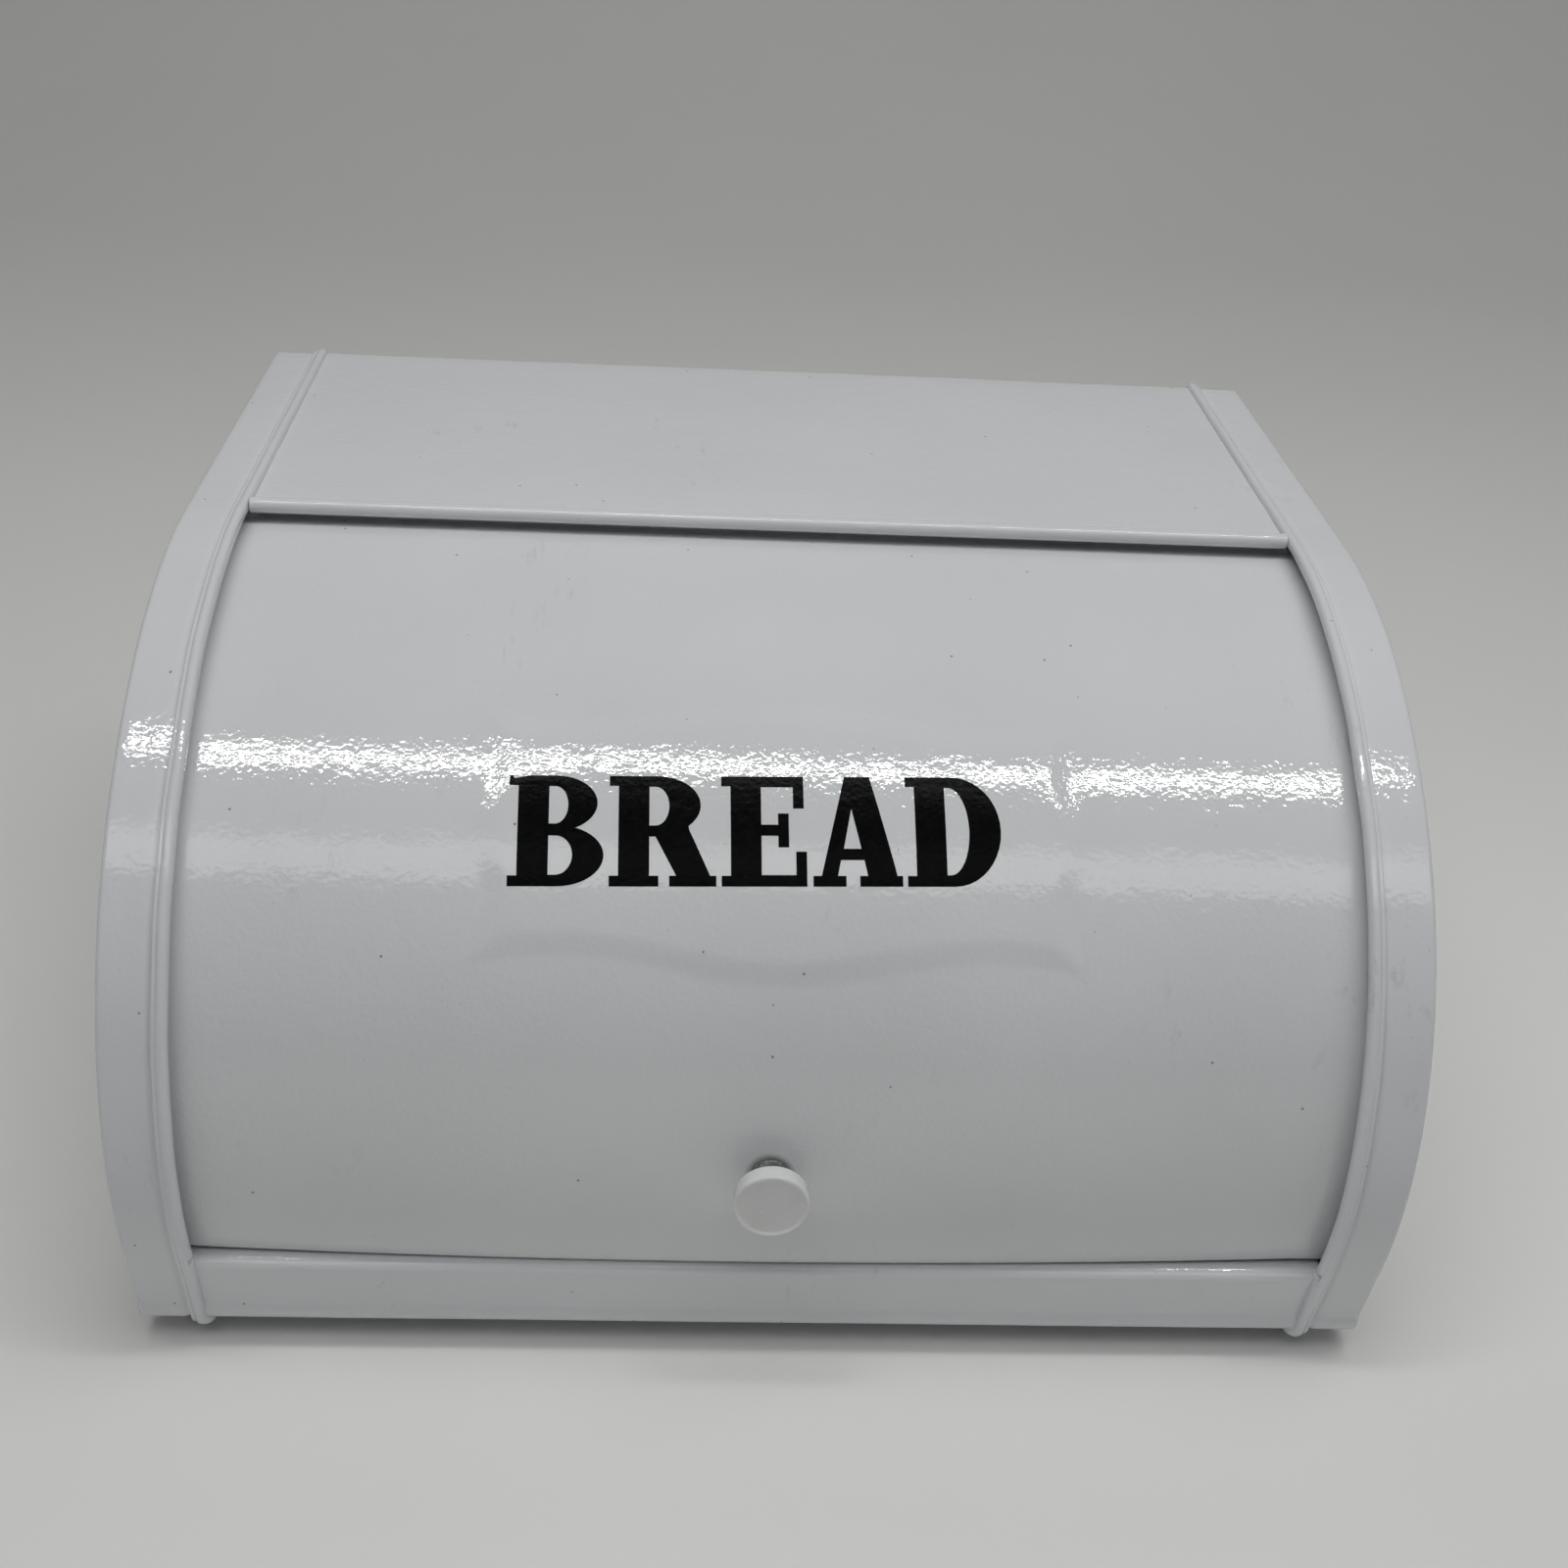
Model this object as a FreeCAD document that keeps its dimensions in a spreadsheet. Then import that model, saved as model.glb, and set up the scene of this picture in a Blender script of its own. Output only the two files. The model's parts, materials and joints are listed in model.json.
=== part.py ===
"""Bread box with a roll top: a sheet-steel case, and a curved lid that rolls back inside it.

Frame: +X across the width, the front faces -Y, +Z up, with Z = 0 at the soles of the feet.
Every section is drawn on the YZ plane from one side profile: a flat top, a gentle upper arc, a
tighter lower arc, and a straight front foot that leans in towards the bottom.
"""
import FreeCAD, Part
import math
import os
import Sketcher

os.makedirs("parts", exist_ok=True)
doc = FreeCAD.newDocument("BreadBox")

# ---------------------------------------------------------------- driving dimensions (mm, deg)
DIMENSIONS = {
    "case_width": 344,
    "case_height": 186.7,
    "flat_top_depth": 145,
    "upper_radius": 162,
    "upper_turn": 42.4,
    "lower_radius": 115,
    "front_lean": 13.2,
    "front_corner": 5,
    "back_corner": 5,
    "sheet": 0.6,
    "band_width": 16.2,
    "bead_start": 14.2,
    "bead_width": 4.1,
    "rod_outer": 2.3,
    "rod_inner": 1.6,
    "rod_rise": 0.3,
    "rod_setback": 2,
    "rod_end_gap": 0.3,
    "top_skirt": 14,
    "sill_top": 158.4,
    "lip_bend": 2.6,
    "lip_depth": 15,
    "lip_return": 5,
    "return_bend": 1.2,
    "seam_flange": 14,
    "seam_gap": 1,
    "vent_radius": 2.5,
    "vent_pitch": 14,
    "vent_count": 6,
    "vent_row_offset": 85,
    "vent_drop": 42,
    "lid_upper_radius": 150,
    "lid_lower_radius": 109.5,
    "lid_half_width": 167,
    "lid_back_reach": 8,
    "lid_low_angle": 106.3,
    "lid_hem": 8,
    "lid_stop": 3.5,
    "arm_rim": 12,
    "arm_tab": 9,
    "arm_hub_radius": 15,
    "arm_spoke": 18,
    "arm_high_angle": 8,
    "arm_low_angle": 84,
    "pivot_radius": 2.5,
    "pivot_clearance": 0.05,
    "axial_play": 0.2,
    "rivet_head_radius": 5.5,
    "rivet_head_height": 1.4,
    "clinch_height": 1.2,
    "clinch_flare": 1.5,
    "spacer_radius": 7,
    "knob_radius": 10,
    "knob_standoff": 14,
    "knob_head": 5.5,
    "knob_stem_radius": 4.5,
    "knob_stem_flare": 1.4,
    "knob_edge": 1.6,
    "knob_angle": 88.6,
    "screw_radius": 2,
    "screw_head_radius": 4,
    "screw_head_height": 2.4,
    "screw_reach": 9,
    "screw_clearance": 0.2,
    "washer_radius": 6,
    "washer_thick": 0.8,
    "foot_height": 6,
    "foot_radius": 7,
    "foot_stem_radius": 2.8,
    "foot_taper": 1.5,
    "foot_barb": 0.9,
    "foot_tip": 2,
    "foot_x": 146,
    "foot_front": 108,
    "foot_back": 122,
}
sheet_cells = doc.addObject("Spreadsheet::Sheet", "Dimensions")
for row, (alias, value) in enumerate(DIMENSIONS.items(), start=1):
    sheet_cells.set(f"A{row}", alias)
    sheet_cells.set(f"B{row}", str(value))
    sheet_cells.setAlias(f"B{row}", alias)
doc.recompute()


def dim(name):
    """One driving dimension, read back from the sheet."""
    return float(getattr(sheet_cells, name))


# ------------------------------------------------------------------------ places worked out
THICK = dim("sheet")
HALF = dim("case_width") / 2
HEIGHT = dim("case_height")
BACK = dim("flat_top_depth")
UPPER_END = 180 + dim("upper_turn")
LOWER_END = 270 + dim("front_lean")


def heading(angle):
    """Unit vector of a direction of travel, in degrees, on the YZ plane."""
    return FreeCAD.Vector(math.cos(math.radians(angle)), math.sin(math.radians(angle)), 0)


def flat(first, second):
    """A point of a sketch, in the sketch's own two directions."""
    return FreeCAD.Vector(first, second, 0)


def radial(angle):
    """Unit vector at an angle from straight up, turning towards the front."""
    return heading(90 + angle)


UPPER_CENTRE = flat(0, -dim("upper_radius"))
PIVOT = UPPER_CENTRE + radial(dim("upper_turn")) * (dim("upper_radius") - dim("lower_radius"))
LID_UPPER_CENTRE = PIVOT - radial(dim("upper_turn")) * (dim("lid_upper_radius") - dim("lid_lower_radius"))
LID_BACK_RUN = dim("lid_back_reach") - LID_UPPER_CENTRE.x
LID_BACK_TURN = -math.degrees(math.asin(LID_BACK_RUN / dim("lid_upper_radius")))
LID_BACK_RISE = (LID_UPPER_CENTRE + radial(LID_BACK_TURN) * dim("lid_upper_radius")).y
KNOB_REACH = dim("lid_lower_radius") + dim("knob_standoff")
FACE_TILT = radial(dim("knob_angle") + 90) * dim("knob_radius")
FRONT_REACH = (PIVOT + radial(dim("knob_angle")) * KNOB_REACH).x - abs(FACE_TILT.x)
BEAD_MIDDLE = HALF - dim("bead_start") - dim("bead_width") / 2
BACK_REACH = BACK + dim("bead_width") / 2
ORIGIN = FreeCAD.Vector(0, -(FRONT_REACH + BACK_REACH) / 2, HEIGHT + dim("foot_height"))
PLACE = FreeCAD.Placement(ORIGIN, FreeCAD.Rotation())
lean_down = heading(LOWER_END)
lower_arc_end = PIVOT + radial(90 + dim("front_lean")) * dim("lower_radius")
FRONT_CORNER = lower_arc_end + lean_down * ((lower_arc_end.y + HEIGHT) / -lean_down.y)


def front_face(height):
    """The point of the straight front foot at a height below the flat top."""
    return FRONT_CORNER - lean_down * ((HEIGHT - height) / -lean_down.y)


# ---------------------------------------------------------------------------- drawing helpers
def new_body(name):
    """A PartDesign body whose origin stands where the case's own profile starts."""
    body = doc.addObject("PartDesign::Body", name)
    body.Label = name
    body.Placement = PLACE
    return body


def new_sketch(body, name, plane="YZ_Plane", offset=0.0, expression=None):
    """A sketch on one of the body's own planes, moved along the plane's normal."""
    sketch = body.newObject("Sketcher::SketchObject", name)
    planes = [item for item in body.Origin.OriginFeatures if item.Role == plane]
    sketch.AttachmentSupport = [(planes[0], "")]
    sketch.MapMode = "FlatFace"
    sketch.AttachmentOffset = FreeCAD.Placement(FreeCAD.Vector(0, 0, offset), FreeCAD.Rotation())
    if expression:
        sketch.setExpression("AttachmentOffset.Base.z", expression)
    return sketch


def bind(sketch, kind, where, value, name, expression):
    """A named sketch constraint that follows the sheet."""
    index = sketch.addConstraint(Sketcher.Constraint(kind, *where, value))
    sketch.renameConstraint(index, name)
    sketch.setExpression(f"Constraints.{name}", expression)


def add_line(sketch, start, end):
    return sketch.addGeometry(Part.LineSegment(start, end), False)


def add_arc(sketch, centre, radius, start_angle, end_angle):
    circle = Part.Circle(centre, FreeCAD.Vector(0, 0, 1), radius)
    arc = Part.ArcOfCircle(circle, math.radians(start_angle), math.radians(end_angle))
    return sketch.addGeometry(arc, False)


def add_circle(sketch, centre, radius, name, expression):
    index = sketch.addGeometry(Part.Circle(centre, FreeCAD.Vector(0, 0, 1), radius), False)
    bind(sketch, "Radius", (index,), radius, name, expression)
    return index


def add_polygon(sketch, points):
    """A closed chain of straight lines."""
    lines = [add_line(sketch, start, end) for start, end in zip(points, points[1:] + points[:1])]
    for first, second in zip(lines, lines[1:] + lines[:1]):
        sketch.addConstraint(Sketcher.Constraint("Coincident", first, 2, second, 1))
    return lines


def pad(body, sketch, length, expression, name, midplane=False):
    """Pad a sketch along its plane's normal, or both ways from it."""
    feature = body.newObject("PartDesign::Pad", name)
    feature.Profile = sketch
    feature.Length = length
    feature.setExpression("Length", expression)
    feature.Midplane = midplane
    sketch.Visibility = False
    body.Tip = feature
    return feature


def pocket(body, sketch, length, expression, name, reverse=False, midplane=False):
    """Cut a sketch into the body, and make sure that it really cuts."""
    doc.recompute()
    volume = body.Shape.Volume
    feature = body.newObject("PartDesign::Pocket", name)
    feature.Profile = sketch
    feature.Length = length
    feature.setExpression("Length", expression)
    feature.Reversed = reverse
    feature.Midplane = midplane
    body.Tip = feature
    doc.recompute()
    if body.Shape.Volume >= volume - 1e-6:
        raise RuntimeError(f"{name} in {body.Label} cuts nothing")
    return feature


def case_outline(sketch, inset, inset_cell):
    """The closed side profile, moved inwards by an inset, with every size tied to the sheet."""
    front = dim("front_corner") - inset
    back = dim("back_corner") - inset
    upper = dim("upper_radius") - inset
    lower = dim("lower_radius") - inset
    bottom = -HEIGHT + inset
    rear = BACK - inset
    lower_end = PIVOT + radial(90 + dim("front_lean")) * lower
    corner_rise = (bottom + front) - lower_end.y
    corner_side = radial(90 + dim("front_lean"))
    front_end = lower_end + lean_down * ((corner_rise + front * corner_side.y) / lean_down.y)
    corner_centre = front_end - corner_side * front
    top = add_line(sketch, flat(rear - back, -inset), flat(0, -inset))
    upper_arc = add_arc(sketch, UPPER_CENTRE, upper, 90, UPPER_END - 90)
    lower_arc = add_arc(sketch, PIVOT, lower, UPPER_END - 90, LOWER_END - 90)
    foot = add_line(sketch, lower_end, front_end)
    corner = add_arc(sketch, corner_centre, front, LOWER_END - 90, 270)
    base = add_line(sketch, flat(corner_centre.x, bottom), flat(rear - back, bottom))
    low_corner = add_arc(sketch, flat(rear - back, bottom + back), back, -90, 0)
    wall = add_line(sketch, flat(rear, bottom + back), flat(rear, -inset - back))
    high_corner = add_arc(sketch, flat(rear - back, -inset - back), back, 0, 90)
    chain = [top, upper_arc, lower_arc, foot, corner, base, low_corner, wall, high_corner]
    for first, second in zip(chain, chain[1:] + chain[:1]):
        sketch.addConstraint(Sketcher.Constraint("Tangent", first, 2, second, 1))
    sketch.addConstraint(Sketcher.Constraint("Horizontal", top))
    sketch.addConstraint(Sketcher.Constraint("Vertical", wall))
    sizes = [
        (upper_arc, upper, "upper", f"Dimensions.upper_radius - {inset_cell}"),
        (lower_arc, lower, "lower", f"Dimensions.lower_radius - {inset_cell}"),
        (corner, front, "front", f"Dimensions.front_corner - {inset_cell}"),
        (low_corner, back, "low", f"Dimensions.back_corner - {inset_cell}"),
        (high_corner, back, "high", f"Dimensions.back_corner - {inset_cell}"),
    ]
    for index, radius, name, expression in sizes:
        bind(sketch, "Radius", (index,), radius, name, expression)
    bind(sketch, "DistanceX", (-1, 1, wall, 1), rear, "rear", f"Dimensions.flat_top_depth - {inset_cell}")
    bind(sketch, "DistanceY", (base, 1, -1, 1), -bottom, "base", f"Dimensions.case_height - {inset_cell}")


def bent_sheet(sketch, points, bends, thickness):
    """A folded sheet: the outside runs through points, every bend turning left, metal on its left."""
    offset_angle = 90
    directions = [(end - start).normalize() for start, end in zip(points, points[1:])]
    angles = [math.degrees(math.atan2(way.y, way.x)) for way in directions]
    outside = []
    inside = []
    start = points[0]
    for index, way in enumerate(directions):
        normal = heading(angles[index] + offset_angle)
        end = points[index + 1]
        if index < len(bends):
            turn = (angles[index + 1] - angles[index]) % 360
            end = end - way * (bends[index] * math.tan(math.radians(turn / 2)))
        outside.append(add_line(sketch, start, end))
        inside.append(add_line(sketch, start + normal * thickness, end + normal * thickness))
        if index < len(bends):
            centre = end + normal * bends[index]
            begin = angles[index] - offset_angle
            outside.append(add_arc(sketch, centre, bends[index], begin, begin + turn))
            inside.append(add_arc(sketch, centre, bends[index] - thickness, begin, begin + turn))
            start = centre + heading(begin + turn) * bends[index]
    for run in (outside, inside):
        for first, second in zip(run, run[1:]):
            sketch.addConstraint(Sketcher.Constraint("Tangent", first, 2, second, 1))
    for number, (place, end) in enumerate(((0, 1), (-1, 2))):
        low = points[0] if end == 1 else points[-1]
        normal = heading(angles[place] + offset_angle)
        cap = add_line(sketch, low, low + normal * thickness)
        sketch.addConstraint(Sketcher.Constraint("Coincident", cap, 1, outside[place], end))
        sketch.addConstraint(Sketcher.Constraint("Coincident", cap, 2, inside[place], end))
        bind(sketch, "Distance", (cap,), thickness, f"gauge{number}", "Dimensions.sheet")


def lid_ring(sketch, outer_inset, inner_inset, from_angle=None, to_angle=None):
    """A strip that follows the lid: upper arc and lower arc, between two insets."""
    upper = dim("lid_upper_radius")
    lower = dim("lid_lower_radius")
    joint = dim("upper_turn")
    low_end = dim("lid_low_angle") if to_angle is None else to_angle
    high_end = LID_BACK_TURN if from_angle is None else from_angle
    chain = []
    if high_end < joint:
        for inset in (outer_inset, inner_inset):
            chain.append(add_arc(sketch, LID_UPPER_CENTRE, upper - inset, 90 + high_end, 90 + joint))
    start = max(high_end, joint)
    for inset in (outer_inset, inner_inset):
        chain.append(add_arc(sketch, PIVOT, lower - inset, 90 + start, 90 + low_end))
    if len(chain) == 4:
        sketch.addConstraint(Sketcher.Constraint("Tangent", chain[0], 2, chain[2], 1))
        sketch.addConstraint(Sketcher.Constraint("Tangent", chain[1], 2, chain[3], 1))
    for outer_arc, inner_arc, end in ((chain[0], chain[1], 1), (chain[-2], chain[-1], 2)):
        centre = LID_UPPER_CENTRE if end == 1 and len(chain) == 4 else PIVOT
        radius = upper if centre is LID_UPPER_CENTRE else lower
        way = radial(high_end if end == 1 else low_end)
        cap = add_line(sketch, centre + way * (radius - outer_inset), centre + way * (radius - inner_inset))
        sketch.addConstraint(Sketcher.Constraint("Coincident", cap, 1, outer_arc, end))
        sketch.addConstraint(Sketcher.Constraint("Coincident", cap, 2, inner_arc, end))


def revolve(body, sketch, name, axis="V_Axis"):
    """A full turn of a half section about one of its own axes."""
    feature = body.newObject("PartDesign::Revolution", name)
    feature.Profile = sketch
    feature.ReferenceAxis = (sketch, [axis])
    feature.Angle = 360
    body.Tip = feature
    return feature


# ------------------------------------------------------------------------------- the case
def side_panel(name, side):
    """A pressed end cap: a flat plate with a wide band turned in all round its edge."""
    body = new_body(name)
    outer = new_sketch(body, "Outline", offset=side * HALF, expression=f"{side} * Dimensions.case_width / 2")
    case_outline(outer, 0.0, "0")
    shell = pad(body, outer, dim("band_width"), "Dimensions.band_width", "Cap")
    shell.Reversed = side > 0
    inner = new_sketch(body, "Inside", offset=side * (HALF - THICK),
                       expression=f"{side} * (Dimensions.case_width / 2 - Dimensions.sheet)")
    case_outline(inner, THICK, "Dimensions.sheet")
    pocket(body, inner, dim("band_width"), "Dimensions.band_width", "Hollow", reverse=side < 0)
    hole = new_sketch(body, "PivotHole")
    add_circle(hole, PIVOT, dim("pivot_radius") + dim("pivot_clearance"), "pivot",
               "Dimensions.pivot_radius + Dimensions.pivot_clearance")
    pocket(body, hole, 2 * dim("case_width"), "2 * Dimensions.case_width", "Pivot", midplane=True)
    return body


def edge_bead(name, side):
    """The raised half-round strip crimped over the band's inner edge, all the way round."""
    body = new_body(name)
    path = new_sketch(body, "Path", offset=side * BEAD_MIDDLE,
                      expression=f"{side} * (Dimensions.case_width / 2 - Dimensions.bead_start"
                                 " - Dimensions.bead_width / 2)")
    case_outline(path, 0.0, "0")
    section = new_sketch(body, "Section", "XZ_Plane", offset=dim("back_corner") - BACK,
                         expression="Dimensions.back_corner - Dimensions.flat_top_depth")
    radius = dim("bead_width") / 2
    centre = flat(side * BEAD_MIDDLE, 0)
    crest = add_arc(section, centre, radius, 0, 180)
    seat = add_line(section, centre - flat(radius, 0), centre + flat(radius, 0))
    section.addConstraint(Sketcher.Constraint("Coincident", crest, 2, seat, 1))
    section.addConstraint(Sketcher.Constraint("Coincident", crest, 1, seat, 2))
    bind(section, "Radius", (crest,), radius, "crest", "Dimensions.bead_width / 2")
    strip = body.newObject("PartDesign::AdditivePipe", "Strip")
    strip.Profile = section
    strip.Spine = (path, [])
    strip.Mode = "Frenet"
    body.Tip = strip
    return body


def top_panel():
    """The flat top, with its front edge curled into a rod and its back edge turned down."""
    body = new_body("top_panel")
    section = new_sketch(body, "Section")
    rod_middle = dim("rod_setback")
    points = [flat(BACK, -dim("top_skirt")), flat(BACK, 0), flat(rod_middle, 0)]
    bent_sheet(section, points, [dim("back_corner")], THICK)
    length = 2 * (HALF - dim("band_width"))
    inner_width = "Dimensions.case_width - 2 * Dimensions.band_width"
    pad(body, section, length, inner_width, "Top", midplane=True)
    curl = new_sketch(body, "CurlSection")
    centre = flat(rod_middle, dim("rod_rise"))
    add_circle(curl, centre, dim("rod_outer"), "rod", "Dimensions.rod_outer")
    rod_length = 2 * (HALF - dim("bead_start") - dim("bead_width") - dim("rod_end_gap"))
    taken = "Dimensions.bead_start + Dimensions.bead_width + Dimensions.rod_end_gap"
    pad(body, curl, rod_length, f"Dimensions.case_width - 2 * ({taken})", "Curl", midplane=True)
    bore = new_sketch(body, "CurlBore")
    add_circle(bore, centre, dim("rod_inner"), "bore", "Dimensions.rod_inner")
    pocket(body, bore, 2 * HALF, "Dimensions.case_width", "Bore", midplane=True)
    return body


def back_panel():
    """The flat back, with a flange turned in under the bottom and two rows of vent holes."""
    body = new_body("back_panel")
    rear = BACK - THICK
    section = new_sketch(body, "Section")
    top = -dim("back_corner") - dim("seam_gap")
    points = [flat(rear - dim("seam_flange"), -HEIGHT), flat(rear, -HEIGHT), flat(rear, top)]
    bent_sheet(section, points, [dim("back_corner") - THICK], THICK)
    inner_width = "Dimensions.case_width - 2 * Dimensions.band_width"
    pad(body, section, 2 * (HALF - dim("band_width")), inner_width, "Back", midplane=True)
    first = (dim("vent_count") - 1) / 2
    for label, side in (("Left", -1), ("Right", 1)):
        holes = new_sketch(body, label + "Vent", "XZ_Plane")
        for number in range(int(dim("vent_count"))):
            across = side * dim("vent_row_offset") + (number - first) * dim("vent_pitch")
            add_circle(holes, flat(across, -dim("vent_drop")), dim("vent_radius"), f"vent{number}",
                       "Dimensions.vent_radius")
        pocket(body, holes, 4 * BACK, "4 * Dimensions.flat_top_depth", label + "Vents", midplane=True)
    return body


def bottom_panel():
    """The flat floor, which lies on the flanges of the back and of the sill, with four foot holes."""
    body = new_body("bottom_panel")
    front = FRONT_CORNER.x + dim("front_corner") + dim("seam_gap")
    rear = BACK - THICK - dim("back_corner")
    outline = new_sketch(body, "Outline", "XY_Plane", offset=-HEIGHT + THICK,
                         expression="Dimensions.sheet - Dimensions.case_height")
    half = HALF - dim("band_width")
    lines = add_polygon(outline, [flat(-half, front), flat(half, front), flat(half, rear), flat(-half, rear)])
    sketch_width = "Dimensions.case_width - 2 * Dimensions.band_width"
    bind(outline, "DistanceX", (lines[0], 1, lines[0], 2), 2 * half, "width", sketch_width)
    pad(body, outline, THICK, "Dimensions.sheet", "Floor")
    holes = new_sketch(body, "FootHoles", "XY_Plane")
    for number, (across, along) in enumerate(foot_places()):
        add_circle(holes, flat(across, along), dim("foot_stem_radius"), f"foot{number}",
                   "Dimensions.foot_stem_radius")
    pocket(body, holes, 4 * HEIGHT, "4 * Dimensions.case_height", "Holes", midplane=True)
    return body


def front_sill():
    """The low front rail: a leaning face, a rounded lip that the lid comes down on, and a flange."""
    body = new_body("front_sill")
    section = new_sketch(body, "Section")
    top = -dim("sill_top")
    face = front_face(dim("sill_top"))
    inner = face.x + dim("lip_depth")
    points = [flat(inner, top - dim("lip_return")), flat(inner, top), face, FRONT_CORNER,
              FRONT_CORNER + flat(dim("front_corner") + dim("seam_flange"), 0)]
    bent_sheet(section, points, [dim("return_bend"), dim("lip_bend"), dim("front_corner")], THICK)
    inner_width = "Dimensions.case_width - 2 * Dimensions.band_width"
    pad(body, section, 2 * (HALF - dim("band_width")), inner_width, "Sill", midplane=True)
    return body


def foot_places():
    """X and Y of the four feet, measured from the profile's own origin."""
    return [(across, along) for along in (-dim("foot_front"), dim("foot_back"))
            for across in (-dim("foot_x"), dim("foot_x"))]


def foot(name, across, along):
    """A rubber foot pushed into the floor: a tapered pad, and a stem with a barbed head."""
    body = new_body(name)
    body.Placement = FreeCAD.Placement(ORIGIN + FreeCAD.Vector(across, along, -HEIGHT), FreeCAD.Rotation())
    section = new_sketch(body, "Section", "XZ_Plane")
    radius = dim("foot_radius")
    stem = dim("foot_stem_radius")
    sole = -dim("foot_height")
    floor_top = 2 * THICK
    tip = floor_top + dim("foot_tip")
    points = [flat(0, sole), flat(radius - dim("foot_taper"), sole), flat(radius, THICK), flat(stem, THICK),
              flat(stem, floor_top), flat(stem + dim("foot_barb"), floor_top),
              flat(stem - dim("foot_barb") / 2, tip), flat(0, tip)]
    lines = add_polygon(section, points)
    bind(section, "DistanceY", (lines[0], 1, -1, 1), dim("foot_height"), "reach", "Dimensions.foot_height")
    revolve(body, section, "Turned")
    return body


# ------------------------------------------------------------------------------- the pivots
ARM_PLATE = dim("lid_half_width") - THICK
SPACER_START = dim("lid_half_width") + dim("axial_play")
# The rivet's dome: shares of its height, and of its radius.
DOME_SHARES = ((0, 1), (0.5, 0.86), (1, 0.4), (1, 0))


def pivot_rivet(name, side):
    """The rivet that the lid's arm turns on: a domed head outside, and a clinched end inside."""
    body = new_body(name)
    section = new_sketch(body, "Section", "XY_Plane", offset=PIVOT.y)
    shank = dim("pivot_radius")
    head = dim("rivet_head_radius")
    end = dim("rivet_head_height")
    inner = ARM_PLATE - dim("axial_play")
    clinch = inner - dim("clinch_height")
    flare = shank + dim("clinch_flare")
    halfway = (inner + clinch) / 2
    rim = [(clinch, 0), (clinch, shank), (halfway, flare), (inner, flare), (inner, shank), (HALF, shank)]
    rim += [(HALF + rise * end, share * head) for rise, share in DOME_SHARES]
    points = [flat(side * across, PIVOT.x + out) for across, out in rim]
    lines = add_polygon(section, points if side > 0 else points[::-1])
    turned = body.newObject("PartDesign::Revolution", "Turned")
    turned.Profile = section
    turned.ReferenceAxis = (section, [f"Edge{len(lines)}"])
    turned.Angle = 360
    body.Tip = turned
    return body


def spacer(name, side):
    """The nylon washer that holds the arm clear of the side panel."""
    body = new_body(name)
    ring = new_sketch(body, "Ring", offset=side * SPACER_START)
    add_circle(ring, PIVOT, dim("spacer_radius"), "outer", "Dimensions.spacer_radius")
    add_circle(ring, PIVOT, dim("pivot_radius") + dim("pivot_clearance"), "inner",
               "Dimensions.pivot_radius + Dimensions.pivot_clearance")
    length = HALF - THICK - SPACER_START
    cell = ("Dimensions.case_width / 2 - Dimensions.sheet - Dimensions.lid_half_width"
            " - Dimensions.axial_play")
    washer = pad(body, ring, length, cell, "Washer")
    washer.Reversed = side < 0
    return body


# ---------------------------------------------------------------------------------- the lid
# Two features of one solid overlap by this much, so that they fuse.
FUSE = 0.05


def lid_sheet():
    """The curved lid: a hem folded inwards along its lower edge, and a low stop along its back edge."""
    body = new_body("lid_sheet")
    section = new_sketch(body, "Section")
    lid_ring(section, 0.0, THICK)
    pad(body, section, 2 * dim("lid_half_width"), "2 * Dimensions.lid_half_width", "Curve", midplane=True)
    hem = new_sketch(body, "HemSection")
    hem_turn = math.degrees(dim("lid_hem") / dim("lid_lower_radius"))
    lid_ring(hem, THICK - FUSE, 2 * THICK, from_angle=dim("lid_low_angle") - hem_turn)
    short = 2 * (dim("lid_half_width") - dim("arm_tab") - dim("seam_gap"))
    short_cell = "2 * (Dimensions.lid_half_width - Dimensions.arm_tab - Dimensions.seam_gap)"
    pad(body, hem, short, short_cell, "Hem", midplane=True)
    stop = new_sketch(body, "StopSection")
    low = flat(dim("lid_back_reach") - THICK, LID_BACK_RISE - THICK)
    high = flat(dim("lid_back_reach"), LID_BACK_RISE + dim("lid_stop"))
    add_polygon(stop, [low, flat(high.x, low.y), high, flat(low.x, high.y)])
    pad(body, stop, short, short_cell, "Stop", midplane=True)
    hole = new_sketch(body, "KnobHole", "XZ_Plane")
    centre = PIVOT + radial(dim("knob_angle")) * dim("lid_lower_radius")
    add_circle(hole, flat(0, centre.y), dim("screw_radius") + dim("screw_clearance"), "screw",
               "Dimensions.screw_radius + Dimensions.screw_clearance")
    pocket(body, hole, 2 * HEIGHT, "2 * Dimensions.case_height", "Knob", reverse=True)
    return body


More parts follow.
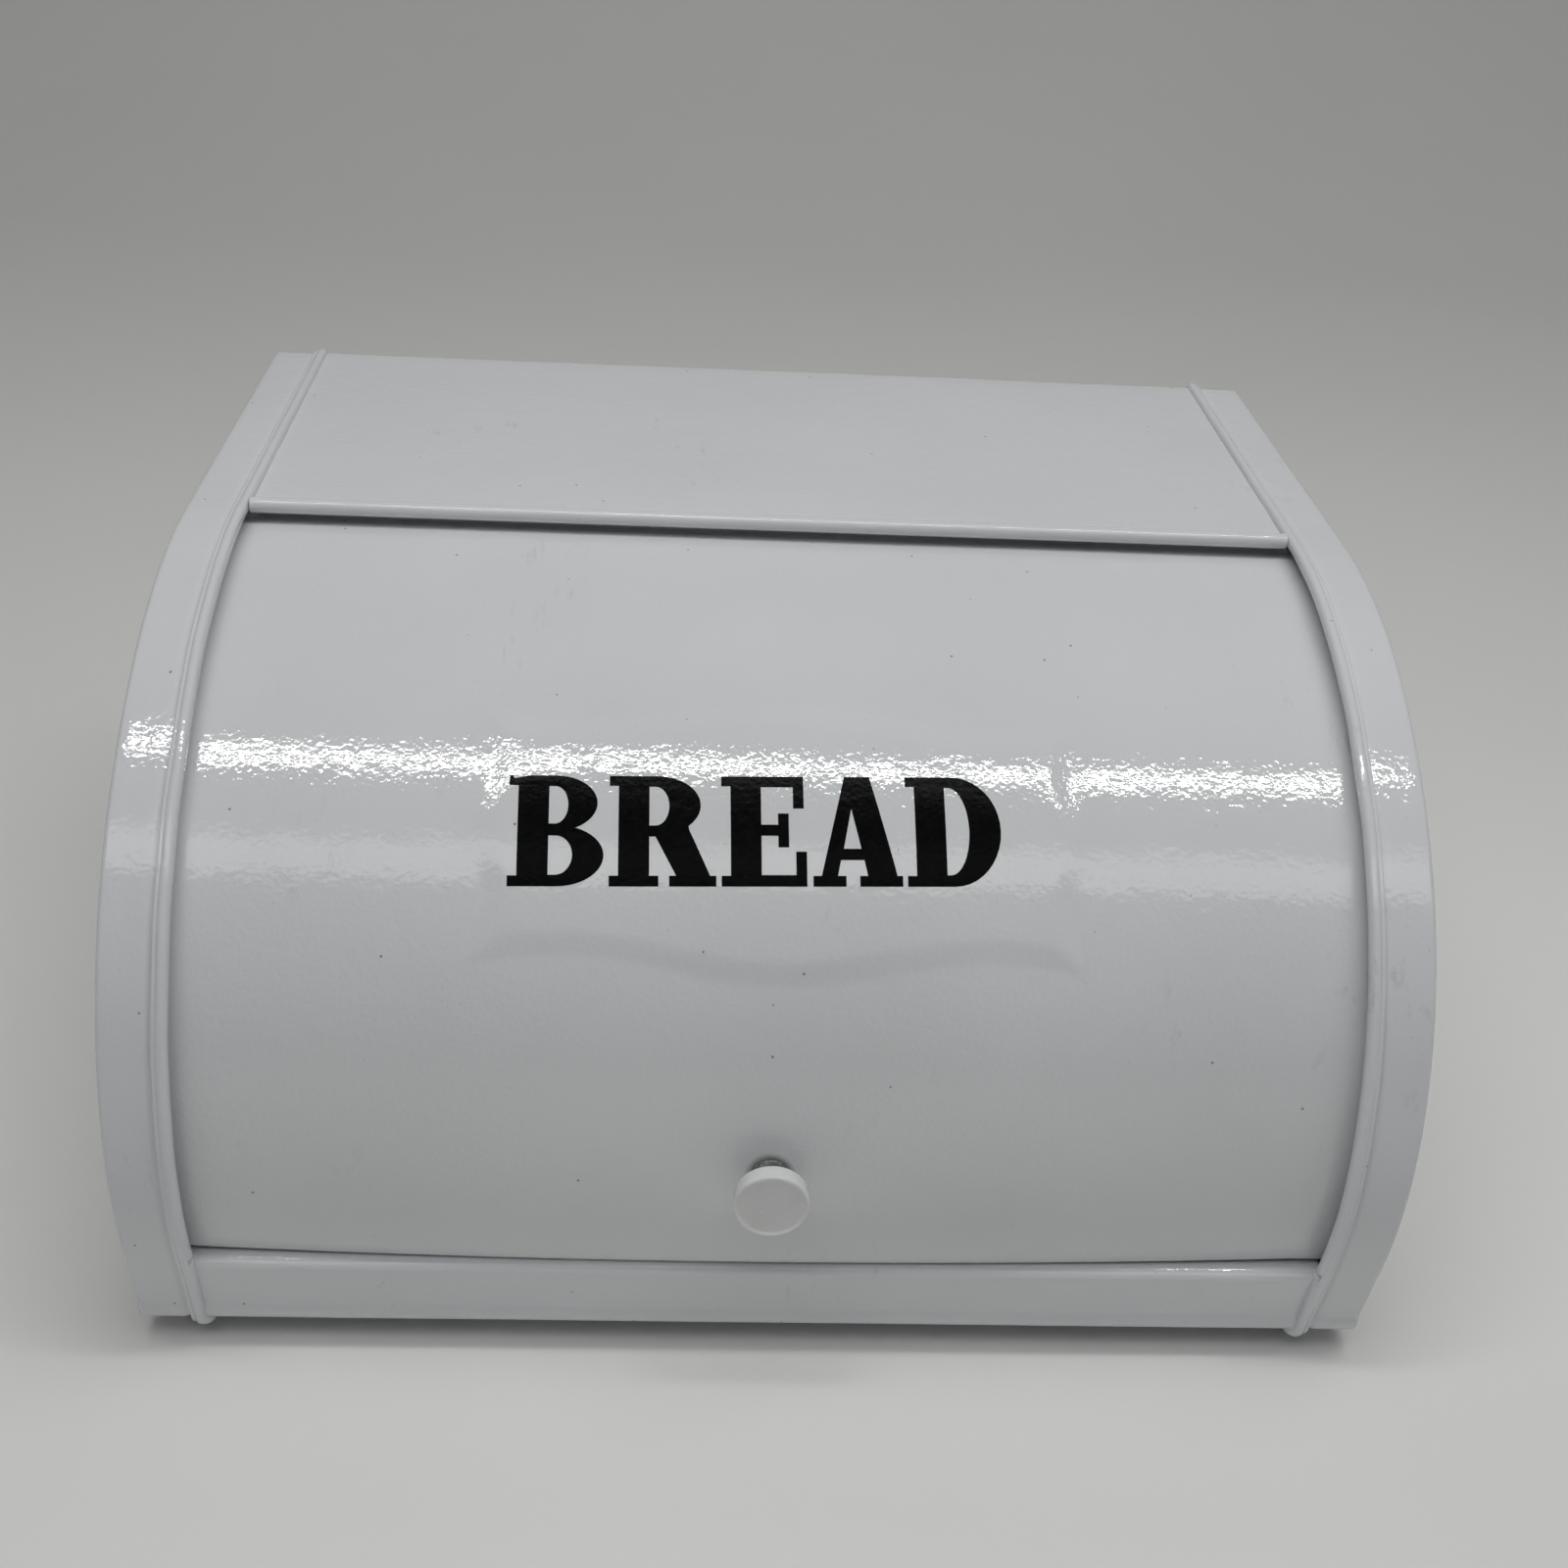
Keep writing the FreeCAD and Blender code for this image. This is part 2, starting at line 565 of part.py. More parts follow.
def lid_arm(name, side):
    """An end frame of the lid: a hub on the rivet, two spokes, a curved rim and a welded tab."""
    body = new_body(name)
    plate = side * ARM_PLATE
    plate_cell = f"{side} * (Dimensions.lid_half_width - Dimensions.sheet)"
    rim = new_sketch(body, "RimSection", offset=plate, expression=plate_cell)
    lid_ring(rim, THICK, THICK + dim("arm_rim"))
    pad(body, rim, THICK, "Dimensions.sheet", "Rim").Reversed = side < 0
    tab = new_sketch(body, "TabSection", offset=plate, expression=plate_cell)
    lid_ring(tab, THICK, 2 * THICK)
    pad(body, tab, dim("arm_tab"), "Dimensions.arm_tab", "Tab").Reversed = side > 0
    for label, angle in (("High", dim("arm_high_angle")), ("Low", dim("arm_low_angle"))):
        spoke = new_sketch(body, label + "SpokeSection", offset=plate, expression=plate_cell)
        way = radial(angle)
        across = radial(angle + 90) * (dim("arm_spoke") / 2)
        length = dim("lid_lower_radius") - THICK - dim("arm_rim") / 2
        tip = PIVOT + way * length
        corners = [PIVOT - across, tip - across, tip + across, PIVOT + across]
        lines = add_polygon(spoke, corners)
        bind(spoke, "Distance", (lines[3],), dim("arm_spoke"), "width", "Dimensions.arm_spoke")
        pad(body, spoke, THICK, "Dimensions.sheet", label + "Spoke").Reversed = side < 0
    hub = new_sketch(body, "HubSection", offset=plate, expression=plate_cell)
    add_circle(hub, PIVOT, dim("arm_hub_radius"), "hub", "Dimensions.arm_hub_radius")
    pad(body, hub, THICK, "Dimensions.sheet", "Hub").Reversed = side < 0
    hole = new_sketch(body, "PivotHole")
    add_circle(hole, PIVOT, dim("pivot_radius") + dim("pivot_clearance"), "pivot",
               "Dimensions.pivot_radius + Dimensions.pivot_clearance")
    pocket(body, hole, 2 * dim("case_width"), "2 * Dimensions.case_width", "Pivot", midplane=True)
    return body


# The knob, its screw and its washer are turned about +Z, then laid on the lid's own normal.
KNOB_NORMAL = radial(dim("knob_angle"))
KNOB_SEAT = PIVOT + KNOB_NORMAL * dim("lid_lower_radius")
KNOB_PLACE = FreeCAD.Placement(
    ORIGIN + FreeCAD.Vector(0, KNOB_SEAT.x, KNOB_SEAT.y),
    FreeCAD.Rotation(FreeCAD.Vector(1, 0, 0), dim("knob_angle")))
# The air between the knob, the sheet and the washer, which the screw's pull would close.
SEAT_GAP = 0.25


def turned_part(name, points, axis_length, cell):
    """A part turned about the knob's axis from a half section."""
    body = new_body(name)
    body.Placement = KNOB_PLACE
    section = new_sketch(body, "Section", "XZ_Plane")
    lines = add_polygon(section, points)
    bind(section, "DistanceY", (lines[-1], 2, lines[-1], 1), axis_length, "length", cell)
    revolve(body, section, "Turned")
    return body


def knob():
    """A round plastic knob: a stem, and a disc whose flat face has a small rounded rim."""
    radius = dim("knob_radius")
    stem = dim("knob_stem_radius")
    face = dim("knob_standoff")
    under = face - dim("knob_head")
    bore = dim("screw_radius")
    depth = dim("screw_reach") + 2 * SEAT_GAP
    flare = dim("knob_stem_flare")
    edge = dim("knob_edge")
    points = [flat(bore, SEAT_GAP), flat(stem + flare / 2, SEAT_GAP), flat(stem, SEAT_GAP + flare),
              flat(stem, under - flare), flat(stem + flare, under), flat(radius - edge, under),
              flat(radius - edge / 4, under + edge), flat(radius, face - edge),
              flat(radius - edge / 4, face - edge / 4), flat(radius - edge, face),
              flat(0, face), flat(0, depth), flat(bore, depth)]
    body = new_body("knob")
    body.Placement = KNOB_PLACE
    section = new_sketch(body, "Section", "XZ_Plane")
    add_polygon(section, points)
    bind(section, "DistanceY", (-1, 1, 10, 1), face, "face", "Dimensions.knob_standoff")
    revolve(body, section, "Turned")
    return body


def knob_screw():
    """The pan-head screw that comes through the lid from inside."""
    head = dim("screw_head_radius")
    shank = dim("screw_radius")
    seat = -THICK - SEAT_GAP - dim("washer_thick")
    low = seat - dim("screw_head_height")
    reach = dim("screw_reach")
    rounding = (seat - low) / 2
    points = [flat(0, low), flat(head - rounding, low), flat(head, low + rounding), flat(head, seat),
              flat(shank, seat), flat(shank, reach), flat(0, reach)]
    return turned_part("knob_screw", points, reach - low,
                       "Dimensions.screw_reach + Dimensions.sheet + Dimensions.washer_thick"
                       f" + Dimensions.screw_head_height + {SEAT_GAP}")


def knob_washer():
    """The flat washer between the screw's head and the inside of the lid."""
    top = -THICK - SEAT_GAP
    low = top - dim("washer_thick")
    rim = dim("washer_radius")
    bore = dim("screw_radius") + dim("screw_clearance")
    points = [flat(bore, low), flat(rim, low), flat(rim, top), flat(bore, top)]
    return turned_part("knob_washer", points, dim("washer_thick"), "Dimensions.washer_thick")


# -------------------------------------------------------------------------- build and write
pieces = [top_panel(), back_panel(), bottom_panel(), front_sill()]
pieces += [lid_sheet(), knob(), knob_screw(), knob_washer()]
for side_name, side_sign in (("left", -1), ("right", 1)):
    pieces.append(side_panel(f"{side_name}_side_panel", side_sign))
    pieces.append(edge_bead(f"{side_name}_edge_bead", side_sign))
    pieces.append(pivot_rivet(f"{side_name}_pivot_rivet", side_sign))
    pieces.append(spacer(f"{side_name}_pivot_spacer", side_sign))
    pieces.append(lid_arm(f"{side_name}_lid_arm", side_sign))
corner_names = ("front_left", "front_right", "back_left", "back_right")
for (across, along), corner_name in zip(foot_places(), corner_names):
    pieces.append(foot(f"{corner_name}_foot", across, along))
doc.recompute()

for item in doc.Objects:
    if "Invalid" in item.State or "Error" in item.State:
        raise RuntimeError(f"{item.Label} did not compute: {item.State}")
for piece in pieces:
    shape = piece.Shape
    if shape.isNull() or not shape.isValid() or len(shape.Solids) != 1:
        raise RuntimeError(f"{piece.Label} is not one valid solid")
    shape.exportStep(f"parts/{piece.Label}.step")
    print(f"{piece.Label:20s} {shape.Volume:10.1f} mm3  {shape.BoundBox}")
print("lid pivot, m:", [round(value / 1000, 6) for value in
                        (0, PIVOT.x + ORIGIN.y, PIVOT.y + ORIGIN.z)])
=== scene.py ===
"""Bread box with a roll top: the visual model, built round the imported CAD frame, in metres."""
import bmesh
import bpy
import json
import math
from mathutils import Euler, Matrix, Vector, noise
from mathutils.geometry import tessellate_polygon

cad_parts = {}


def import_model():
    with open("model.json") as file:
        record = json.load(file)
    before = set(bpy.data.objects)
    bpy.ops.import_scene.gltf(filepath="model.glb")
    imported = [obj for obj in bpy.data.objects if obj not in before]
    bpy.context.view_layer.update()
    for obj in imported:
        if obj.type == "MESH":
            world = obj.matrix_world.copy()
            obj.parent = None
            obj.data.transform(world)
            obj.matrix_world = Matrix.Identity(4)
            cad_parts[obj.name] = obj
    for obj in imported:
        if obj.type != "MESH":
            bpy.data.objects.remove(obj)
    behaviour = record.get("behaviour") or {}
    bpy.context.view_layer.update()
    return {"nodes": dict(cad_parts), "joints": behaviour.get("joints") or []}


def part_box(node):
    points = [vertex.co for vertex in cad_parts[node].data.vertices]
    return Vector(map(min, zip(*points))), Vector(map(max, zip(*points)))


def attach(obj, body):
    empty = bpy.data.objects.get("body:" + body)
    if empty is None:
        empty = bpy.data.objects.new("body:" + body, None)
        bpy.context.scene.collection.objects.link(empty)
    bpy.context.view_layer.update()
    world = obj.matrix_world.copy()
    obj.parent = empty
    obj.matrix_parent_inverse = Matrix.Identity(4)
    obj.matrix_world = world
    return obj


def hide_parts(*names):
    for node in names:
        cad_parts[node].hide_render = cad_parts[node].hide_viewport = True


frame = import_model()
MM = 0.001

# ------------------------------------------------------------------ sizes and places (metres, degrees)
CASE_LOW, CASE_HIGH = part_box("right_side_panel")
BEAD_LOW, BEAD_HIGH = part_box("right_edge_bead")
TOP_LOW, TOP_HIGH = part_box("top_panel")
SILL_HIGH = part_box("front_sill")[1]
BACK_LOW, BACK_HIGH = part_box("back_panel")
LID_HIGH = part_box("lid_sheet")[1]
PIVOT = Vector(frame["joints"][0]["pos_m"]).yz
SHEET = 0.6 * MM
FLAT_DEPTH = 145 * MM
UPPER_RADIUS = 162 * MM
LOWER_RADIUS = PIVOT.x - CASE_LOW.y
LEAN = 13.2
CORNER = 5 * MM
BAND_INNER = CASE_LOW.x
BEAD_MIDDLE = (BEAD_LOW.x + BEAD_HIGH.x) / 2
BEAD_HALF = (BEAD_HIGH.x - BEAD_LOW.x) / 2
UPPER_CENTRE = Vector((CASE_HIGH.y - FLAT_DEPTH, CASE_HIGH.z - UPPER_RADIUS))
TURN = math.degrees(math.atan2(UPPER_CENTRE.x - PIVOT.x, PIVOT.y - UPPER_CENTRE.y))
LID_UPPER_RADIUS = 150 * MM
LID_LOWER_RADIUS = 109.5 * MM
LID_HALF = LID_HIGH.x
LID_BACK_REACH = 8 * MM
LID_LOW_ANGLE = 106.3
ROD_RADIUS = 2.3 * MM
ROD_CENTRE = Vector((UPPER_CENTRE.x + 2 * MM, TOP_HIGH.z - ROD_RADIUS))
KNOB_ANGLE = 88.6


def radial(angle):
    """Unit vector on the YZ plane, at an angle from straight up, turning towards the front."""
    return Vector((-math.sin(math.radians(angle)), math.cos(math.radians(angle))))


LID_UPPER_CENTRE = PIVOT - radial(TURN) * (LID_UPPER_RADIUS - LID_LOWER_RADIUS)
LOWER_END = 90 + LEAN
FOOT_WAY = Vector((math.sin(math.radians(LEAN)), -math.cos(math.radians(LEAN))))


def smooth(value):
    """0 below 0, 1 above 1, with a smooth rise between."""
    value = min(1.0, max(0.0, value))
    return value * value * (3 - 2 * value)


def ripple(place, wave, depth):
    """A gentle unevenness, at most depth high, with the given wavelength."""
    return depth * noise.noise(place / wave)


# ------------------------------------------------------------------------------- camera and light
def camera():
    """The view from the front, looking down at about 30 degrees from just left of the middle."""
    data = bpy.data.cameras.new("view")
    data.lens = 45.0
    data.sensor_width = 36.0
    data.clip_start = 0.01
    item = bpy.data.objects.new("view", data)
    item.location = (-0.0298, -0.53285, 0.41949)
    item.rotation_euler = Euler([math.radians(turn) for turn in (59.638, -3.076, -2.121)], "XYZ")
    bpy.context.scene.collection.objects.link(item)
    bpy.context.scene.camera = item


def area_light(name, place, target, size, power, colour, lights="both"):
    """A rectangular light; lights is both, gloss (highlights only) or matt (no highlights)."""
    data = bpy.data.lights.new(name, "AREA")
    data.shape = "RECTANGLE"
    data.size, data.size_y = size
    data.energy = power
    data.color = colour
    item = bpy.data.objects.new(name, data)
    item.location = place
    item.rotation_euler = (Vector(target) - Vector(place)).to_track_quat("-Z", "Y").to_euler()
    item.visible_diffuse = lights != "gloss"
    item.visible_glossy = lights != "matt"
    bpy.context.scene.collection.objects.link(item)


def world(colour, strength):
    """An even, dim surround."""
    shade = bpy.data.worlds.new("studio")
    shade.use_nodes = True
    background = shade.node_tree.nodes["Background"]
    background.inputs["Color"].default_value = (*colour, 1)
    background.inputs["Strength"].default_value = strength
    bpy.context.scene.world = shade


# ------------------------------------------------------------------------------------- materials
class Shade:
    """A Principled material, and short calls for the nodes that feed it."""

    def __init__(self, name, **sockets):
        self.material = bpy.data.materials.new(name)
        self.material.use_nodes = True
        self.tree = self.material.node_tree
        self.shader = self.tree.nodes["Principled BSDF"]
        for socket, value in sockets.items():
            self.shader.inputs[socket.replace("_", " ")].default_value = value
        self.place = self.node("ShaderNodeTexCoord").outputs["Object"]

    def node(self, kind, inputs=None, **settings):
        """A new node; an input is a value, or a socket to link from."""
        item = self.tree.nodes.new(kind)
        for key, value in settings.items():
            setattr(item, key, value)
        for key, value in (inputs or {}).items():
            if isinstance(value, bpy.types.NodeSocket):
                self.tree.links.new(value, item.inputs[key])
            else:
                item.inputs[key].default_value = value
        return item

    def noise(self, scale, detail=2.0, place=None, roughness=0.5):
        """A noise value over the piece, or over another place."""
        return self.node("ShaderNodeTexNoise", {"Vector": place or self.place, "Scale": scale,
                                                "Detail": detail, "Roughness": roughness}).outputs["Fac"]

    def stretch(self, factors):
        """The place, scaled by a factor along each axis."""
        return self.node("ShaderNodeMapping", {"Vector": self.place, "Scale": factors}).outputs["Vector"]

    def span(self, value, low, high, to_low=0.0, to_high=1.0):
        """The value mapped from one range to another, and clamped."""
        return self.node("ShaderNodeMapRange", {"Value": value, "From Min": low, "From Max": high,
                                                "To Min": to_low, "To Max": to_high}).outputs["Result"]

    def maths(self, operation, first, second):
        """Two values put through one operation."""
        return self.node("ShaderNodeMath", {0: first, 1: second}, operation=operation).outputs["Value"]

    def mix(self, factor, first, second):
        """A colour between two, by a factor."""
        item = self.node("ShaderNodeMix", data_type="RGBA")
        for index, value in ((0, factor), (6, first), (7, second)):
            if isinstance(value, bpy.types.NodeSocket):
                self.tree.links.new(value, item.inputs[index])
            else:
                item.inputs[index].default_value = (*value, 1) if index else value
        return item.outputs[2]

    def bump(self, height, distance, under=None):
        """A normal bent by a height, on top of another normal if given."""
        inputs = {"Height": height, "Distance": distance, "Strength": 1.0}
        if under:
            inputs["Normal"] = under
        return self.node("ShaderNodeBump", inputs).outputs["Normal"]

    def to(self, socket, value):
        """Links a value to one of the shader's sockets."""
        self.tree.links.new(value, self.shader.inputs[socket])

    def specks(self, scale, radius, share):
        """Scattered round dots: one in some of the cells, as a mask."""
        cells = self.node("ShaderNodeTexVoronoi", {"Vector": self.place, "Scale": scale})
        dot = self.span(cells.outputs["Distance"], radius * scale, radius * scale * 0.6)
        chance = self.node("ShaderNodeSeparateColor", {"Color": cells.outputs["Color"]}).outputs["Red"]
        return self.maths("MULTIPLY", dot, self.maths("GREATER_THAN", chance, 1 - share))

    def near(self, place, radius, fade):
        """1 within a radius of a place, fading to 0 over a further distance, as a mask."""
        gap = self.node("ShaderNodeVectorMath", {0: self.place, 1: place}, operation="DISTANCE")
        return self.span(gap.outputs["Value"], radius + fade, radius)

    def darken_as_shade(self, colour, place, radius, fade, strength):
        """A colour with a patchy ring of painted shade worked in round a place."""
        mask = self.maths("MULTIPLY", self.near(place, radius, fade), strength)
        patchy = self.span(self.noise(900, 3.0), 0.25, 0.6, 0.75, 1.0)
        # painted shade: the near-black colour mixed in round the place
        return self.mix(self.maths("MULTIPLY", mask, patchy), colour, (0.035, 0.036, 0.036))

    def orange_peel(self):
        """The texture of a powder coat: slow swells with a fine grain on them."""
        swell = self.bump(self.noise(150, 1.0), 0.00012)
        return self.bump(self.noise(680, 1.0), 0.000075, swell)


def powder_coat(name, tint, painted_shade=None):
    """Glossy powder coat with faint scuffs, dark specks and dust, and painted shade round a place if asked.
    """
    shade = Shade(name, Roughness=0.16, IOR=1.6)
    tone = shade.span(shade.noise(14, 3.0), 0.35, 0.65)
    colour = shade.mix(tone, tint, tuple(channel * 0.965 for channel in tint))
    scuff_grain = shade.noise(260, 5.0, shade.stretch((1.0, 0.35, 0.5)), 0.7)
    scuff_patch = shade.span(shade.noise(22, 2.0), 0.60, 0.72)
    scuff = shade.maths("MULTIPLY", shade.span(scuff_grain, 0.57, 0.68), scuff_patch)
    colour = shade.mix(shade.maths("MULTIPLY", scuff, 0.20), colour, (0.22, 0.21, 0.20))
    dots = shade.specks(120, 0.00046, 0.40)
    colour = shade.mix(shade.maths("MULTIPLY", dots, 0.72), colour, (0.10, 0.09, 0.08))
    dust = shade.specks(210, 0.00024, 0.22)
    colour = shade.mix(shade.maths("MULTIPLY", dust, 0.40), colour, (0.25, 0.24, 0.22))
    # painted shade: a patchy dark ring round the given place
    if painted_shade:
        colour = shade.darken_as_shade(colour, *painted_shade)
    shade.to("Base Color", colour)
    shade.to("Roughness", shade.span(shade.noise(30, 4.0), 0.3, 0.7, 0.045, 0.075))
    shade.to("Normal", shade.orange_peel())
    return shade.material


def print_ink():
    """Black printing ink over the coat's texture."""
    shade = Shade("print_ink", IOR=1.4, Specular_IOR_Level=0.05)
    grain = shade.span(shade.noise(420, 3.0), 0.3, 0.7)
    shade.to("Base Color", shade.mix(grain, (0.0015, 0.0015, 0.0018), (0.0035, 0.0036, 0.0042)))
    shade.to("Roughness", shade.span(shade.noise(900, 2.0), 0.3, 0.7, 0.18, 0.26))
    shade.to("Normal", shade.orange_peel())
    return shade.material


def moulded(name, low, high, roughness, bump, soft=0.0, painted_shade=None):
    """A moulded plastic or rubber, with a little cloudiness and grain, and painted shade round a place if
    asked.
    """
    shade = Shade(name, IOR=1.48)
    if soft:
        shade.shader.inputs["Subsurface Weight"].default_value = soft
        shade.shader.inputs["Subsurface Radius"].default_value = (0.004, 0.004, 0.0042)
        shade.shader.inputs["Subsurface Scale"].default_value = 1.0
    colour = shade.mix(shade.span(shade.noise(160, 4.0), 0.3, 0.7), low, high)
    # painted shade: a patchy dark ring round the given place
    if painted_shade:
        colour = shade.darken_as_shade(colour, *painted_shade)
    shade.to("Base Color", colour)
    shade.to("Roughness", shade.span(shade.noise(500, 3.0), 0.3, 0.7, *roughness))
    shade.to("Normal", shade.bump(shade.noise(1600, 2.0), bump))
    return shade.material


def zinc_steel():
    """Bare zinc-plated steel, a little cloudy."""
    shade = Shade("zinc_steel", Metallic=1.0)
    bloom = shade.span(shade.noise(380, 5.0), 0.3, 0.7)
    shade.to("Base Color", shade.mix(bloom, (0.50, 0.50, 0.51), (0.68, 0.68, 0.67)))
    shade.to("Roughness", shade.span(shade.noise(700, 4.0), 0.3, 0.7, 0.26, 0.46))
    shade.to("Normal", shade.bump(shade.noise(2600, 3.0), 0.00001))
    return shade.material


def stage_paint(name, tint, spread):
    """The matt paint of floor and backdrop, with a slight cloudiness."""
    shade = Shade(name, Roughness=0.62)
    cloud = shade.span(shade.noise(3.0, 3.0), 0.3, 0.7)
    shade.to("Base Color", shade.mix(cloud, tint, tuple(channel * spread for channel in tint)))
    shade.to("Normal", shade.bump(shade.noise(900, 2.0), 0.00002))
    return shade.material


# --------------------------------------------------------------------------------- mesh helpers
def add_piece(name, vertices, faces, material, body, nodes, sharp=34, modifiers=()):
    """Makes one visible piece, smooth-shaded with sharp folds, and ties it to the frame."""
    mesh = bpy.data.meshes.new(name)
    mesh.from_pydata([tuple(vertex) for vertex in vertices], [], faces)
    work = bmesh.new()
    work.from_mesh(mesh)
    bmesh.ops.recalc_face_normals(work, faces=work.faces)
    work.to_mesh(mesh)
    work.free()
    mesh.materials.append(material)
    item = bpy.data.objects.new(name, mesh)
    bpy.context.scene.collection.objects.link(item)
    for modify in modifiers:
        modify(item)
    item.data.shade_smooth()
    item.data.set_sharp_from_angle(angle=math.radians(sharp))
    if body is None:
        return item
    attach(item, body)
    if nodes:
        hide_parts(*nodes)
    return item


def quads(rows, columns, close_rows=False, close_columns=False, start=0):
    """Faces of a grid of vertices stored row after row."""
    faces = []
    for row in range(rows if close_rows else rows - 1):
        for column in range(columns if close_columns else columns - 1):
            after = (row + 1) % rows
            beside = (column + 1) % columns
            faces.append((start + row * columns + column, start + row * columns + beside,
                          start + after * columns + beside, start + after * columns + column))
    return faces


def rounded_path(points, radii, step=10.0):
    """Points along a chain of straight runs with rounded bends, as (point, unit normal on the left)."""
    path = []
    start = points[0]
    for index in range(1, len(points)):
        way = (points[index] - points[index - 1]).normalized()
        left = Vector((-way.y, way.x))
        if index == len(points) - 1:
            path += [(start, left), (points[index], left)]
            continue
        onward = (points[index + 1] - points[index]).normalized()
        turn = math.atan2(way.x * onward.y - way.y * onward.x, way.dot(onward))
        radius = radii[index - 1]
        end = points[index] - way * (radius * math.tan(abs(turn) / 2))
        path += [(start, left), (end, left)]
        side = 1 if turn > 0 else -1
        centre = end + left * radius * side
        count = max(2, round(abs(math.degrees(turn)) / step))
        for number in range(1, count):
            swing = Matrix.Rotation(turn * number / count, 2)
            path.append((centre - (swing @ left) * radius * side, swing @ left))
        start = centre - (Matrix.Rotation(turn, 2) @ left) * radius * side
    return path


def denser(path, pitch):
    """The same path, with extra points on its long straight runs."""
    result = []
    for (first, normal), (second, _) in zip(path, path[1:]):
        count = max(1, round((second - first).length / pitch))
        result += [(first.lerp(second, number / count), normal) for number in range(count)]
    return result + [path[-1]]


def ribbon(name, path, half_width, material, node, columns, shift, modifiers=()):
    """A folded sheet that runs along X: a path on the YZ plane, thickened away from its normals.

    shift gives how far each place moves along the normal.
    """
    spans = half_width if callable(half_width) else (lambda index: half_width)
    vertices = []
    for depth in (0.0, SHEET):
        for index, (point, normal) in enumerate(path):
            for column in range(columns + 1):
                across = (2 * column / columns - 1) * spans(index)
                place = point - normal * depth
                moved = Vector((across, place.x, place.y))
                vertices.append(moved + Vector((0, normal.x, normal.y)) * shift(moved))
    rows, wide = len(path), columns + 1
    back = rows * wide
    faces = quads(rows, wide) + [face[::-1] for face in quads(rows, wide, start=back)]
    for row in (0, rows - 1):
        for column in range(columns):
            first = row * wide + column
            faces.append((first, first + 1, back + first + 1, back + first))
    for row in range(rows - 1):
        for column in (0, columns):
            first = row * wide + column
            faces.append((first, first + wide, back + first + wide, back + first))
    return add_piece(name, vertices, faces, material, "case", [node], modifiers=modifiers)


def lathe(name, profile, origin, axis, material, body, nodes, segments, sharp=34):
    """A turned piece: (radius, height) pairs, both ends on the axis or joined into a ring."""
    axis = axis.normalized()
    first = axis.orthogonal().normalized()
    second = axis.cross(first)
    solid = profile[0][0] == 0
    rims = profile[1:-1] if solid else profile
    vertices = []
    for radius, height in rims:
        for number in range(segments):
            turn = 2 * math.pi * number / segments
            spoke = first * math.cos(turn) + second * math.sin(turn)
            vertices.append(origin + axis * height + spoke * radius)
    faces = quads(len(rims), segments, close_rows=not solid, close_columns=True)
    if solid:
        for end, row in ((profile[0], 0), (profile[-1], len(rims) - 1)):
            vertices.append(origin + axis * end[1])
            for number in range(segments):
                pair = (row * segments + number, row * segments + (number + 1) % segments)
                faces.append((*pair, len(vertices) - 1))
    return add_piece(name, vertices, faces, material, body, nodes, sharp)


def arc(centre, radius, start, end, count):
    """Points of an arc, in (first, second) coordinates, by angles in degrees."""
    turns = [math.radians(start + (end - start) * number / count) for number in range(count + 1)]
    return [(centre[0] + radius * math.cos(turn), centre[1] + radius * math.sin(turn)) for turn in turns]


# ------------------------------------------------------------------------------------- the case
def case_outline():
    """The closed side profile as (point, outward normal), fine where it bends and at the sill's lip."""
    samples = []

    def run(start, end, normal, pitch):
        count = max(1, round((end - start).length / pitch))
        samples.extend((start.lerp(end, number / count), normal) for number in range(count))

    def bend(centre, radius, start, end, step):
        count = max(2, round(abs(end - start) / step))
        for number in range(count):
            way = radial(start + (end - start) * number / count)
            samples.append((centre + way * radius, way))

    top, rear, base = CASE_HIGH.z, CASE_HIGH.y, CASE_LOW.z
    run(Vector((rear - CORNER, top)), Vector((UPPER_CENTRE.x, top)), radial(0), 7 * MM)
    bend(UPPER_CENTRE, UPPER_RADIUS, 0, TURN, 1.4)
    bend(PIVOT, LOWER_RADIUS, TURN, LOWER_END, 1.4)
    foot_top = PIVOT + radial(LOWER_END) * LOWER_RADIUS
    corner_side = radial(LOWER_END) * CORNER
    drop = (base + CORNER - foot_top.y + corner_side.y) / FOOT_WAY.y
    foot_end = foot_top + FOOT_WAY * drop
    run(foot_top, foot_end, radial(LOWER_END), 0.5 * MM)
    corner_centre = foot_end - corner_side
    bend(corner_centre, CORNER, LOWER_END, 180, 9)
    run(Vector((corner_centre.x, base)), Vector((rear - CORNER, base)), radial(180), 7 * MM)
    bend(Vector((rear - CORNER, base + CORNER)), CORNER, 180, 270, 9)
    run(Vector((rear, base + CORNER)), Vector((rear, top - CORNER)), radial(270), 7 * MM)
    bend(Vector((rear - CORNER, top - CORNER)), CORNER, 270, 360, 9)
    return samples


OUTLINE = case_outline()


def foot_flare(place):
    """The slight outward kick of the front just above its bottom fold, for a (y, z) place."""
    low = (CASE_LOW.z + 8.5 * MM - place.y) / (3 * MM)
    return 0.8 * MM * smooth(low) * smooth((place.y - CASE_LOW.z) / (4 * MM)) if place.x < PIVOT.x else 0.0


